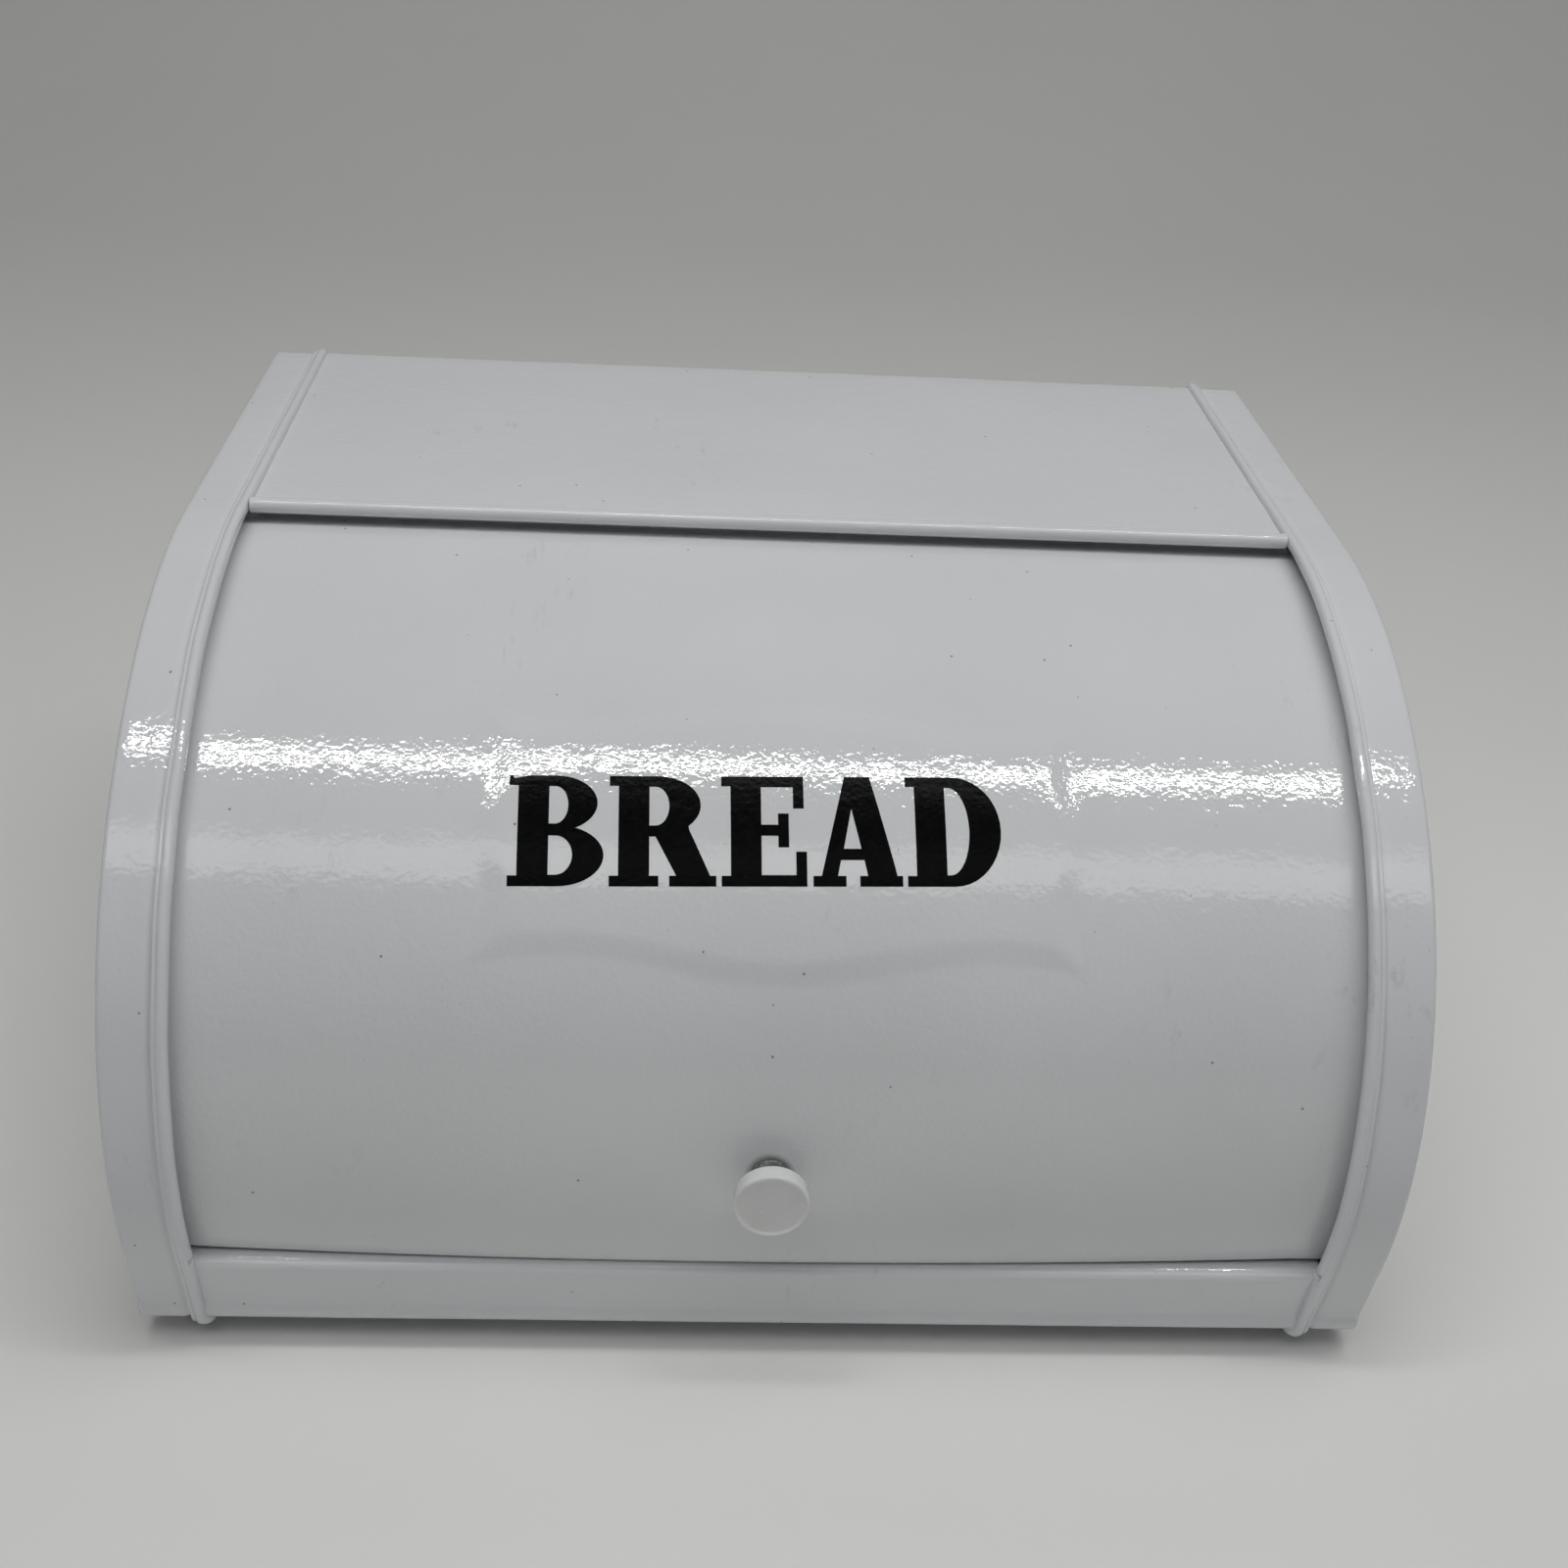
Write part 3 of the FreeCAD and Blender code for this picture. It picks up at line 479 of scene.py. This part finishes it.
def side_panel(side, name, material):
    """A pressed end cap: a plate, a rounded fold, and a wide band turned in all round."""
    plate = CASE_HIGH.x
    fold = 1.5 * MM
    hole = 2.55 * MM
    rings = (1.0, 0.8, 0.6, 0.4, 0.2, 0.07)
    band = [BAND_INNER + reach * MM for reach in (12.5, 9, 6, 4.3, 3.7, 3.1, 2.6, 2.1, 1.6, 0.25)]

    def dent(across):
        away = abs(across - BEAD_HIGH.x - 0.5 * MM) / (1.5 * MM)
        return -0.45 * MM * smooth(1 - away)

    section = [("plate", plate, ring) for ring in rings]
    section += [("skin", across, -out) for across, out in
                arc((plate - fold, fold), fold, 0, -90, 7)]
    section += [("skin", across, dent(across)) for across in band]
    section += [("skin", BAND_INNER, -0.2 * MM), ("skin", BAND_INNER, -SHEET + 0.1 * MM)]
    section += [("skin", across, dent(across) - SHEET) for across in band[::-1]]
    section += [("skin", across, -out) for across, out in
                arc((plate - fold, fold), fold - SHEET, -90, 0, 4)]
    section += [("plate", plate - SHEET, ring) for ring in rings[::-1]]
    vertices = []
    for point, normal in OUTLINE:
        for kind, across, value in section:
            if kind == "skin":
                place = point + normal * (value + foot_flare(point))
                place += normal * ripple(Vector((across * side, place.x, place.y)), 31 * MM, 0.14 * MM)
            else:
                rim = point - normal * fold
                place = rim.lerp(PIVOT + (rim - PIVOT).normalized() * hole, value)
                swell = ripple(Vector((side, place.x, place.y)), 70 * MM, 0.35 * MM)
                across += swell * min(1.0, 4 * value) * (1 - value)
            vertices.append(Vector((across * side, place.x, place.y)))
    faces = quads(len(OUTLINE), len(section), True, True)
    return add_piece(f"{name}_cap", vertices, faces, material, "case", [f"{name}_side_panel"],
                     50)


def edge_bead(side, name, material):
    """The rolled strip over the band's inner edge: a crowned back, and a crisp edge on the band's side."""
    half = BEAD_HALF
    under = -0.9 * MM
    lip = [(half, -0.3 * MM), (half, 1.0 * MM), (half - 0.06 * MM, 1.18 * MM), (half - 0.20 * MM, 1.32 * MM),
           (half - 0.42 * MM, 1.36 * MM)]
    back = arc((-0.35 * MM, 0.33 * MM), half - 0.35 * MM, 38, 180, 10)
    inner = [(-half, 0.0), (-half, under + 0.3 * MM), (-half + 0.35 * MM, under), (half - 1.2 * MM, under)]
    section = lip + back + inner
    slit = SILL_HIGH.z + 1.6 * MM
    toe = min(point.x for point, normal in OUTLINE if normal.y < -0.9)
    vertices = []
    for point, normal in OUTLINE:
        flat = smooth(-normal.y) * smooth(1 - (point.x - toe) / (16 * MM))
        weave = ripple(Vector((side * 0.3, point.x, point.y)), 16 * MM, 0.20 * MM)
        for across, out in section:
            grain = ripple(Vector((across * 3, point.x, point.y)), 9 * MM, 0.10 * MM)
            out += grain if out > 0.4 * MM else 0.0
            notch = 0.0
            if point.x < 0 and abs(point.y - slit) < 1.0 * MM and across < -half + 0.5 * MM:
                notch = 1.1 * MM
            if across < 0:
                notch += across * 0.9 * flat
            place = point + normal * (out * (1 + 0.35 * flat) if out > 0 else out)
            vertices.append(Vector(((BEAD_MIDDLE + across + weave + notch) * side, place.x, place.y)))
    faces = quads(len(OUTLINE), len(section), True, True)
    return add_piece(f"{name}_bead", vertices, faces, material, "case", [f"{name}_edge_bead"],
                     40)


def top_panel(material):
    """The flat top: a skirt down the back, and a front edge curled up and over into a rod."""
    half = SHEET / 2
    rear = CASE_HIGH.y - half
    height = CASE_HIGH.z - half
    mid = ROD_RADIUS - half
    bend = CORNER - half
    flat_end = ROD_CENTRE.x + 9 * MM
    dip_run, dip_rows = 7 * MM, 8
    curl_step, curl_rows = 13.2, 24
    skirt = [Vector((rear, TOP_LOW.z)), Vector((rear, height)), Vector((flat_end, height))]
    path = denser(rounded_path(skirt, [bend], 9), 6 * MM)
    flat_rows = len(path)
    dip = height - (ROD_CENTRE.y - mid)
    for number in range(1, dip_rows + 1):
        share = number / dip_rows
        across = ROD_CENTRE.x + dip_run * (1 - share)
        drop = dip * smooth(share)
        slope = dip * 6 * share * (1 - share) / dip_run
        path.append((Vector((across, height - drop)), Vector((slope, -1)).normalized()))
    for number in range(1, curl_rows + 1):
        turn = math.radians(-90 - number * curl_step)
        way = Vector((math.cos(turn), math.sin(turn)))
        path.append((ROD_CENTRE + way * mid, way))
    path = [(point + normal * half, normal) for point, normal in path]
    wide, narrow = BAND_INNER, BEAD_LOW.x - 0.35 * MM

    def shift(place):
        if place.y < flat_end or place.z < CASE_HIGH.z - 2 * MM:
            return 0.0
        edge = min(1.0, (place.y - flat_end) / (15 * MM))
        return -edge * (ripple(place, 60 * MM, 0.30 * MM) + 0.25 * MM)

    return ribbon("top", path, lambda row: wide if row < flat_rows + 1 else narrow, material,
                  "top_panel", 90, shift)


def cut_holes(places, radius, depth, axis):
    """A modifier step that drills round holes through a piece."""
    def apply(item):
        work = bmesh.new()
        for place in places:
            turn = Vector((0, 0, 1)).rotation_difference(axis).to_matrix().to_4x4()
            bmesh.ops.create_cone(work, cap_ends=True, segments=36, radius1=radius, radius2=radius,
                                  depth=depth, matrix=Matrix.Translation(place) @ turn)
        tool_mesh = bpy.data.meshes.new("drill")
        work.to_mesh(tool_mesh)
        work.free()
        drill = bpy.data.objects.new("drill", tool_mesh)
        bpy.context.scene.collection.objects.link(drill)
        cut = item.modifiers.new("holes", "BOOLEAN")
        cut.operation = "DIFFERENCE"
        cut.solver = "EXACT"
        cut.object = drill
        bake(item)
        bpy.data.objects.remove(drill)
    return apply


def bake(item):
    """Applies every modifier on a piece."""
    graph = bpy.context.evaluated_depsgraph_get()
    mesh = bpy.data.meshes.new_from_object(item.evaluated_get(graph), depsgraph=graph)
    item.modifiers.clear()
    item.data = mesh


def back_panel(material):
    """The back: a flange under the floor, a rounded lower corner, and two groups of vent holes in line."""
    rear = CASE_HIGH.y - SHEET
    runs = [Vector((BACK_LOW.y, CASE_LOW.z)), Vector((rear, CASE_LOW.z)), Vector((rear, BACK_HIGH.z))]
    path = [(point, -normal) for point, normal in denser(rounded_path(runs, [CORNER - SHEET], 9), 9 * MM)]
    vent_radius, vent_pitch, group_offset, vent_count = 2.5 * MM, 14 * MM, 85 * MM, 6
    vent_height = CASE_HIGH.z - 42 * MM
    vents = [Vector((side * group_offset + (number - (vent_count - 1) / 2) * vent_pitch, rear, vent_height))
             for side in (-1, 1) for number in range(vent_count)]

    def shift(place):
        if place.y <= rear - 2 * MM:
            return 0.0
        inside = min(1.0, (place.z - CASE_LOW.z) / (30 * MM), (BACK_HIGH.z - place.z) / (30 * MM))
        return -max(0.0, inside) * (ripple(place, 75 * MM, 0.4 * MM) + 0.4 * MM)

    return ribbon("back", path, BAND_INNER, material, "back_panel", 48, shift,
                  [cut_holes(vents, vent_radius, 6 * MM, Vector((0, 1, 0)))])


def front_sill(material):
    """The front rail: a rounded lip under the lid's edge, a leaning face, and a flange below."""
    top = SILL_HIGH.z
    foot_top = PIVOT + radial(LOWER_END) * LOWER_RADIUS
    face = foot_top + FOOT_WAY * ((top - foot_top.y) / FOOT_WAY.y)
    toe = foot_top + FOOT_WAY * ((CASE_LOW.z - foot_top.y) / FOOT_WAY.y)
    lip_depth, shoulder_depth, shoulder_slope = 15 * MM, 3.8 * MM, 25
    inner = face.x + lip_depth
    shoulder = Vector((shoulder_depth, -shoulder_depth * math.tan(math.radians(shoulder_slope))))
    brow = foot_top + FOOT_WAY * ((top + shoulder.y - foot_top.y) / FOOT_WAY.y)
    runs = [Vector((inner, top - 5 * MM)), Vector((inner, top)), Vector((face.x + shoulder.x, top)),
            brow, toe, Vector((SILL_HIGH.y, CASE_LOW.z))]
    path = [(point, -normal) for point, normal in
            denser(rounded_path(runs, [1.2 * MM, 5 * MM, 2.2 * MM, CORNER], 8), 1.3 * MM)]

    def shift(place):
        inside = smooth((place.z - CASE_LOW.z) / (8 * MM)) * smooth((top - place.z) / (8 * MM))
        return inside * (ripple(place, 55 * MM, 0.3 * MM) - 0.15 * MM) + foot_flare(place.yz)

    return ribbon("sill", path, BAND_INNER, material, "front_sill", 110, shift)


def foot(name, material):
    """A rubber foot: a tapered pad with a rounded, dished sole."""
    low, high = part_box(f"{name}_foot")
    centre = Vector(((low.x + high.x) / 2, (low.y + high.y) / 2, 0))
    radius = (high.x - low.x) / 2
    tall = CASE_LOW.z
    sole = radius - 1.5 * MM
    profile = [(0, 0.7 * MM), (2.6 * MM, 0.7 * MM), (3.2 * MM, 0.15 * MM), (3.6 * MM, 0)]
    profile += arc((sole - 0.6 * MM, 0.6 * MM), 0.6 * MM, -90, -8, 5)
    profile += arc((radius - 0.5 * MM, tall - 0.4 * MM), 0.4 * MM, 0, 90, 4)
    stem, stem_low = 2.8 * MM, tall + SHEET
    profile += [(stem, tall), (stem, stem_low + SHEET)]
    profile += arc((3.1 * MM, stem_low + SHEET + 0.5 * MM), 0.5 * MM, -80, 60, 5)
    profile += [(1.6 * MM, high.z - 0.2 * MM), (0, high.z)]
    return lathe(f"{name}_pad", profile, centre, Vector((0, 0, 1)), material, "case", [f"{name}_foot"],
                 48)


def pivot_rivet(side, name, material):
    """A domed rivet through the side panel, with its end clinched inside the lid's arm."""
    low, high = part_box(f"{name}_pivot_rivet")
    radius = (high.z - low.z) / 2
    outer = high.x if side > 0 else -low.x
    inner = low.x if side > 0 else -high.x
    plate = CASE_HIGH.x
    shank = 2.5 * MM
    rise = outer - plate
    dome = [(radius * math.cos(math.radians(turn)) ** 0.8, plate + 0.25 * MM +
             (rise - 0.25 * MM) * math.sin(math.radians(turn))) for turn in range(0, 90, 9)]
    clinch = inner + 1.2 * MM
    profile = [(0, inner + 0.35 * MM), (1.1 * MM, inner + 0.3 * MM), (1.9 * MM, inner),
               (3.1 * MM, inner + 0.1 * MM), (4.0 * MM, clinch - 0.35 * MM), (3.9 * MM, clinch),
               (shank, clinch), (shank, plate), (radius - 0.1 * MM, plate)]
    profile += dome + [(0, outer)]
    return lathe(f"{name}_rivet", profile, Vector((0, *PIVOT)), Vector((side, 0, 0)), material, "case",
                 [f"{name}_pivot_rivet"], 48, 40)


# -------------------------------------------------------------------------------------- the lid
PLAQUE_MIDDLE = Vector((0.5 * MM, -4 * MM))
PLAQUE_HALF_WIDE = 75.6 * MM
PLAQUE_HALF_TALL = 32.8 * MM
PLAQUE_RISE = 1.0 * MM
PLAQUE_RAMP = 6.2 * MM


def lid_frame(along):
    """Point and outward normal of the lid's section, along from the arcs' joint, + towards the sill."""
    angle = TURN + math.degrees(along / (LID_UPPER_RADIUS if along < 0 else LID_LOWER_RADIUS))
    centre, radius = (LID_UPPER_CENTRE, LID_UPPER_RADIUS) if along < 0 else (PIVOT, LID_LOWER_RADIUS)
    return centre + radial(angle) * radius, radial(angle)


LID_BACK_OFFSET = UPPER_CENTRE.x + LID_BACK_REACH - LID_UPPER_CENTRE.x
LID_BACK_TURN = math.degrees(math.asin(LID_BACK_OFFSET / LID_UPPER_RADIUS))
LID_START = -LID_UPPER_RADIUS * math.radians(TURN + LID_BACK_TURN)
LID_END = LID_LOWER_RADIUS * math.radians(LID_LOW_ANGLE - TURN) - 0.7 * MM
LID_KICK = 2.5 * MM
LID_BOW = 3.3 * MM
LID_BOW_HALF = 158 * MM
LID_BOW_MIDDLE = -10 * MM
LID_STOP = LID_HIGH.z - lid_frame(LID_START)[0].y - LID_KICK
LID_STOP_HALF = LID_HALF - 10 * MM


def plaque(across, along):
    """Height of the pressed label plaque: a plateau with wavy sides and sloping walls."""
    wide = across - PLAQUE_MIDDLE.x
    tall = along - PLAQUE_MIDDLE.y
    half_wide = PLAQUE_HALF_WIDE + 1.9 * MM * math.cos(math.pi * tall / (19 * MM))
    half_tall = PLAQUE_HALF_TALL + 3.5 * MM * math.cos(math.pi * wide / (56 * MM))
    first = half_wide - abs(wide)
    second = half_tall - abs(tall)
    blend = 2.2 * MM
    mixed = max(0.0, blend - abs(first - second)) / blend
    depth = min(first, second) - mixed * mixed * blend / 4
    rise = depth / PLAQUE_RAMP + 0.5
    crease = 0.08
    if rise < crease:
        rise = max(0.0, rise + crease) ** 2 / (4 * crease)
    elif rise > 1 - crease:
        rise = 1 - max(0.0, 1 - rise + crease) ** 2 / (4 * crease)
    return PLAQUE_RISE * rise


def lid_lift(across, along):
    """How far the lid stands off its true section: plaque, slack, a bowed lower edge, a lifted back edge."""
    slack = ripple(Vector((across, along, 0.0)), 85 * MM, 0.45 * MM)
    slack *= smooth((LID_END - along) / (30 * MM)) * smooth((along - LID_START) / (20 * MM))
    reach = (across - LID_BOW_MIDDLE) / LID_BOW_HALF
    bow = LID_BOW * max(0.0, 1 - reach * reach) * smooth(1 - (LID_END - along) / (60 * MM))
    kick = LID_KICK * smooth(1 - (along - LID_START) / (55 * MM))
    return plaque(across, along) + slack + bow + kick


def lid_point(across, along, lift):
    """A place on the lid, lifted off its surface along the normal."""
    point, normal = lid_frame(along)
    place = point + normal * (lid_lift(across, along) + lift)
    return Vector((across, place.x, place.y))


def lid_sheet(material):
    """The curved lid: a stop turned up along its back edge, and a folded hem along its lower one."""
    columns, pitch = 268, 1.25 * MM
    rows = math.ceil((LID_END - LID_START) / pitch)
    hem = 8 * MM
    fold = 0.6 * MM
    front = LID_START + SHEET
    steps = [(front, LID_STOP)]
    steps += [(front + (LID_END - fold - front) * number / rows, 0.0) for number in range(rows + 1)]
    steps += [(LID_END - fold + reach, -fold + rise) for rise, reach in arc((0, 0), fold, 20, 160, 7)]
    hem_rows = 8
    steps += [(LID_END - fold - hem * number / hem_rows, -2 * fold) for number in range(hem_rows + 1)]
    steps.append((LID_END - fold - hem - 0.1 * MM, -1.2 * fold))
    steps += [(LID_END - fold - hem - 0.3 * MM - (LID_END - fold - hem - LID_START) * number / rows, -fold)
              for number in range(rows)]
    steps += [(LID_START, -fold), (LID_START, LID_STOP)]
    vertices = []
    for along, lift in steps:
        for column in range(columns + 1):
            across = (2 * column / columns - 1) * LID_HALF
            low = lift == LID_STOP and abs(across) > LID_STOP_HALF
            vertices.append(lid_point(across, along, 0.02 * MM if low else lift))
    wide = columns + 1
    faces = quads(len(steps), wide, close_rows=True)
    for column in (0, columns):
        faces.append(tuple(row * wide + column for row in range(len(steps))))
    return add_piece("lid_skin", vertices, faces, material, "lid", ["lid_sheet"], 40)


def letter_shapes():
    """Plain slab-serif capitals, 30 high on a zero baseline: each is an outline and its counters."""
    def bowl(middle, low, high, reach, start=-90, end=90):
        centre, half = (low + high) / 2, (high - low) / 2
        turns = [math.radians(start + (end - start) * number / 20) for number in range(21)]
        return [(middle + reach * math.cos(turn), centre + half * math.sin(turn)) for turn in turns]

    spine = [(0, 30), (0, 27.2), (2.4, 27.2), (2.4, 2.8), (0, 2.8)]
    b = [(0, 0), *bowl(12.5, 0, 16.2, 12.2, -90, 66), *bowl(12.2, 14.6, 30, 10.8, -68, 90), *spine]
    b_low = [(10.4, 3.0), *bowl(12.2, 3.0, 13.4, 4.4), (10.4, 13.4)]
    b_high = [(10.4, 16.6), *bowl(12.0, 16.6, 27.0, 3.4), (10.4, 27.0)]
    leg = [(0, 0), (12.8, 0), (12.8, 2.8), (10.4, 2.8), (10.4, 13.2), (12.0, 13.2), (17.4, 2.8),
           (15.6, 2.8), (15.6, 0), (27.8, 0), (27.8, 2.8), (26.2, 2.8), (20.8, 15.0)]
    r = [*leg, *bowl(12.4, 13.6, 30, 11.4, -44, 90), *spine]
    r_high = [(10.4, 16.2), *bowl(12.0, 16.2, 27.0, 3.6), (10.4, 27.0)]
    e = [(0, 0), (22.2, 0), (22.2, 9.2), (19.4, 9.2), (19.4, 3.0), (10.4, 3.0), (10.4, 13.5), (14.8, 13.5),
         (14.8, 10.4), (17.6, 10.4), (17.6, 19.6), (14.8, 19.6), (14.8, 16.5), (10.4, 16.5), (10.4, 27.0),
         (18.8, 27.0), (18.8, 21.0), (21.6, 21.0), (21.6, 30), *spine]
    a = [(0, 0), (8.6, 0), (8.6, 2.8), (6.4, 2.8), (7.3, 7.0), (13.4, 7.0), (14.3, 2.8), (12.2, 2.8),
         (12.2, 0), (23.4, 0), (23.4, 2.8), (22.0, 2.8), (15.3, 30), (8.7, 30), (2.2, 2.8), (0, 2.8)]
    a_high = [(8.1, 10.0), (12.7, 10.0), (10.3, 21.0)]
    d = [(0, 0), *bowl(12.4, 0, 30, 12.6), *spine]
    d_high = [(10.4, 3.0), *bowl(11.4, 3.0, 27.0, 5.2), (10.4, 27.0)]
    return ((-70.5, (b, b_low, b_high)), (-44.4, (r, r_high)), (-15.2, (e,)), (8.6, (a, a_high)),
            (33.3, (d, d_high)))


def lettering(material):
    """The printed word, cut into narrow strips and laid on the lid as a thin film."""
    baseline, tilt, film = 9.6 * MM, math.radians(1.3), 0.06 * MM
    pitch = 1.3 * MM
    for number, (start, shapes) in enumerate(letter_shapes()):
        loops = [[Vector((start + across, up, 0)) for across, up in shape] for shape in shapes]
        points = [point for loop in loops for point in loop]
        work = bmesh.new()
        corners = [work.verts.new(point * MM) for point in points]
        for triangle in tessellate_polygon(loops):
            work.faces.new([corners[index] for index in triangle])
        for step in range(1, 24):
            plane = Vector((0, step * pitch, 0))
            geometry = work.verts[:] + work.edges[:] + work.faces[:]
            bmesh.ops.bisect_plane(work, geom=geometry, plane_co=plane, plane_no=Vector((0, 1, 0)))
        for vertex in work.verts:
            across, up = vertex.co.x, vertex.co.y
            turned = across * math.cos(tilt) - up * math.sin(tilt)
            along = baseline - across * math.sin(tilt) - up * math.cos(tilt)
            vertex.co = lid_point(turned, along, film)
        bmesh.ops.recalc_face_normals(work, faces=work.faces)
        middle = lid_frame(0)[1]
        for face in work.faces:
            if face.normal.yz.dot(middle) < 0:
                face.normal_flip()
        mesh = bpy.data.meshes.new("film")
        work.to_mesh(mesh)
        work.free()
        film_item = bpy.data.objects.new(f"print_{number}", mesh)
        mesh.materials.append(material)
        bpy.context.scene.collection.objects.link(film_item)
        solid = film_item.modifiers.new("film", "SOLIDIFY")
        solid.thickness = 0.12 * MM
        solid.offset = -1
        bake(film_item)
        film_item.data.shade_smooth()
        film_item.data.set_sharp_from_angle(angle=math.radians(40))
        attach(film_item, "lid")


KNOB_AXIS = Vector((0, *radial(KNOB_ANGLE)))
KNOB_SEAT = Vector((0, *(PIVOT + radial(KNOB_ANGLE) * LID_LOWER_RADIUS)))


def knob(material):
    """The knob: a waisted stem, and a disc with a crisp raised rim and a sunk face."""
    radius, stem, face, under = 10 * MM, 4.5 * MM, 14 * MM, 8.5 * MM
    seat = lid_lift(0, LID_LOWER_RADIUS * math.radians(KNOB_ANGLE - TURN)) + 0.05 * MM
    profile = [(0, seat), (stem + 0.9 * MM, seat)]
    profile += arc((stem + 0.6 * MM, seat + 0.5 * MM), 0.5 * MM, -50, 60, 3)
    profile += [(stem, 3.2 * MM), (stem, under - 1.6 * MM)]
    profile += arc((stem + 1.5 * MM, under - 1.5 * MM), 1.5 * MM, 180, 90, 5)[1:]
    profile += [(radius - 2 * MM, under)]
    profile += arc((radius - 1.5 * MM, under + 1.5 * MM), 1.5 * MM, -90, -8, 6)
    profile += [(radius, face - 1.2 * MM)]
    profile += arc((radius - 0.5 * MM, face - 0.5 * MM), 0.5 * MM, 0, 90, 6)[1:]
    profile += [(radius - 0.75 * MM, face - 0.04 * MM), (radius - 1.0 * MM, face - 0.22 * MM),
                (radius - 1.2 * MM, face - 0.4 * MM), (radius - 1.5 * MM, face - 0.44 * MM),
                (radius - 3.5 * MM, face - 0.4 * MM), (3 * MM, face - 0.36 * MM),
                (1.0 * MM, face - 0.36 * MM), (0.5 * MM, face - 0.4 * MM), (0, face - 0.41 * MM)]
    return lathe("knob_body", profile, KNOB_SEAT, KNOB_AXIS, material, "lid", ["knob"],
                 96, 45)


# ------------------------------------------------------------------------------------- the stage
def stage(material):
    """A pale floor that sweeps up into a backdrop."""
    sweep = rounded_path([Vector((-3.2, 0)), Vector((1.75, 0)), Vector((1.75, 2.6))], [0.75], 5)
    path = denser(sweep, 0.25)
    widths = (-6.4, -3.2, 0, 3.2, 6.4)
    vertices = [Vector((across, point.x, point.y)) for point, _ in path for across in widths]
    add_piece("floor", vertices, quads(len(path), len(widths)), material, None, None, 60)


camera()
world((0.88, 0.89, 0.90), 0.12)
bpy.context.scene.view_settings.view_transform = "Standard"
area_light("strip", (0.05, -0.222, 1.26), (0.05, -0.10, 0.12), (1.1, 0.075), 3.0, (1.0, 0.99, 0.97))
area_light("gleam", (0.05, -0.222, 1.25), (0.05, -0.10, 0.12), (1.1, 0.03), 1.1, (1.0, 0.99, 0.97), "gloss")
area_light("glow", (0.0, -0.86, 1.35), (0, -0.10, 0.14), (2.2, 0.3), 2.9, (1.0, 0.985, 0.96), "gloss")
area_light("overhead", (0.10, -0.36, 1.35), (0, -0.1, 0), (1.9, 0.9), 7.9, (0.995, 0.997, 1.0), "matt")
area_light("backdrop", (0, 1.15, 1.9), (0, 1.6, 0.1), (4.0, 0.6), 2.6, (1.0, 1.0, 0.98), "matt")

CASE_PAINT = powder_coat("case_paint", (0.74, 0.755, 0.78))
KNOB_ROOT = KNOB_SEAT + KNOB_AXIS * 0.6 * MM
# painted shade round the knob's root is worked into the lid paint
LID_PAINT = powder_coat("lid_paint", (0.74, 0.76, 0.775), (KNOB_ROOT, 4.8 * MM, 2.2 * MM, 0.75))
INK = print_ink()
# painted shade is worked into the knob's stem, under its disc
KNOB_PLASTIC = moulded("knob_plastic", (0.73, 0.74, 0.735), (0.77, 0.78, 0.775), (0.22, 0.28), 0.00002, 0.35,
                       (KNOB_ROOT, 6.6 * MM, 1.2 * MM, 0.9))
NYLON = moulded("nylon", (0.74, 0.73, 0.68), (0.82, 0.81, 0.77), (0.42, 0.55), 0.00003, 0.2)
RUBBER = moulded("foot_rubber", (0.016, 0.016, 0.017), (0.035, 0.034, 0.034), (0.62, 0.85), 0.00006)
STEEL = zinc_steel()

for side_sign, side_name in ((-1, "left"), (1, "right")):
    side_panel(side_sign, side_name, CASE_PAINT)
    edge_bead(side_sign, side_name, CASE_PAINT)
    pivot_rivet(side_sign, side_name, STEEL)
top_panel(CASE_PAINT)
back_panel(CASE_PAINT)
front_sill(CASE_PAINT)
for corner_name in ("front_left", "front_right", "back_left", "back_right"):
    foot(corner_name, RUBBER)
lid_sheet(LID_PAINT)
lettering(INK)
knob(KNOB_PLASTIC)

KEPT_NODES = {"bottom_panel": CASE_PAINT, "left_lid_arm": LID_PAINT, "right_lid_arm": LID_PAINT,
              "left_pivot_spacer": NYLON, "right_pivot_spacer": NYLON,
              "knob_screw": STEEL, "knob_washer": STEEL}
for node_name, node_material in KEPT_NODES.items():
    node = frame["nodes"][node_name]
    node.data.materials.clear()
    node.data.materials.append(node_material)

stage(stage_paint("stage_grey", (0.88, 0.88, 0.86), 0.97))
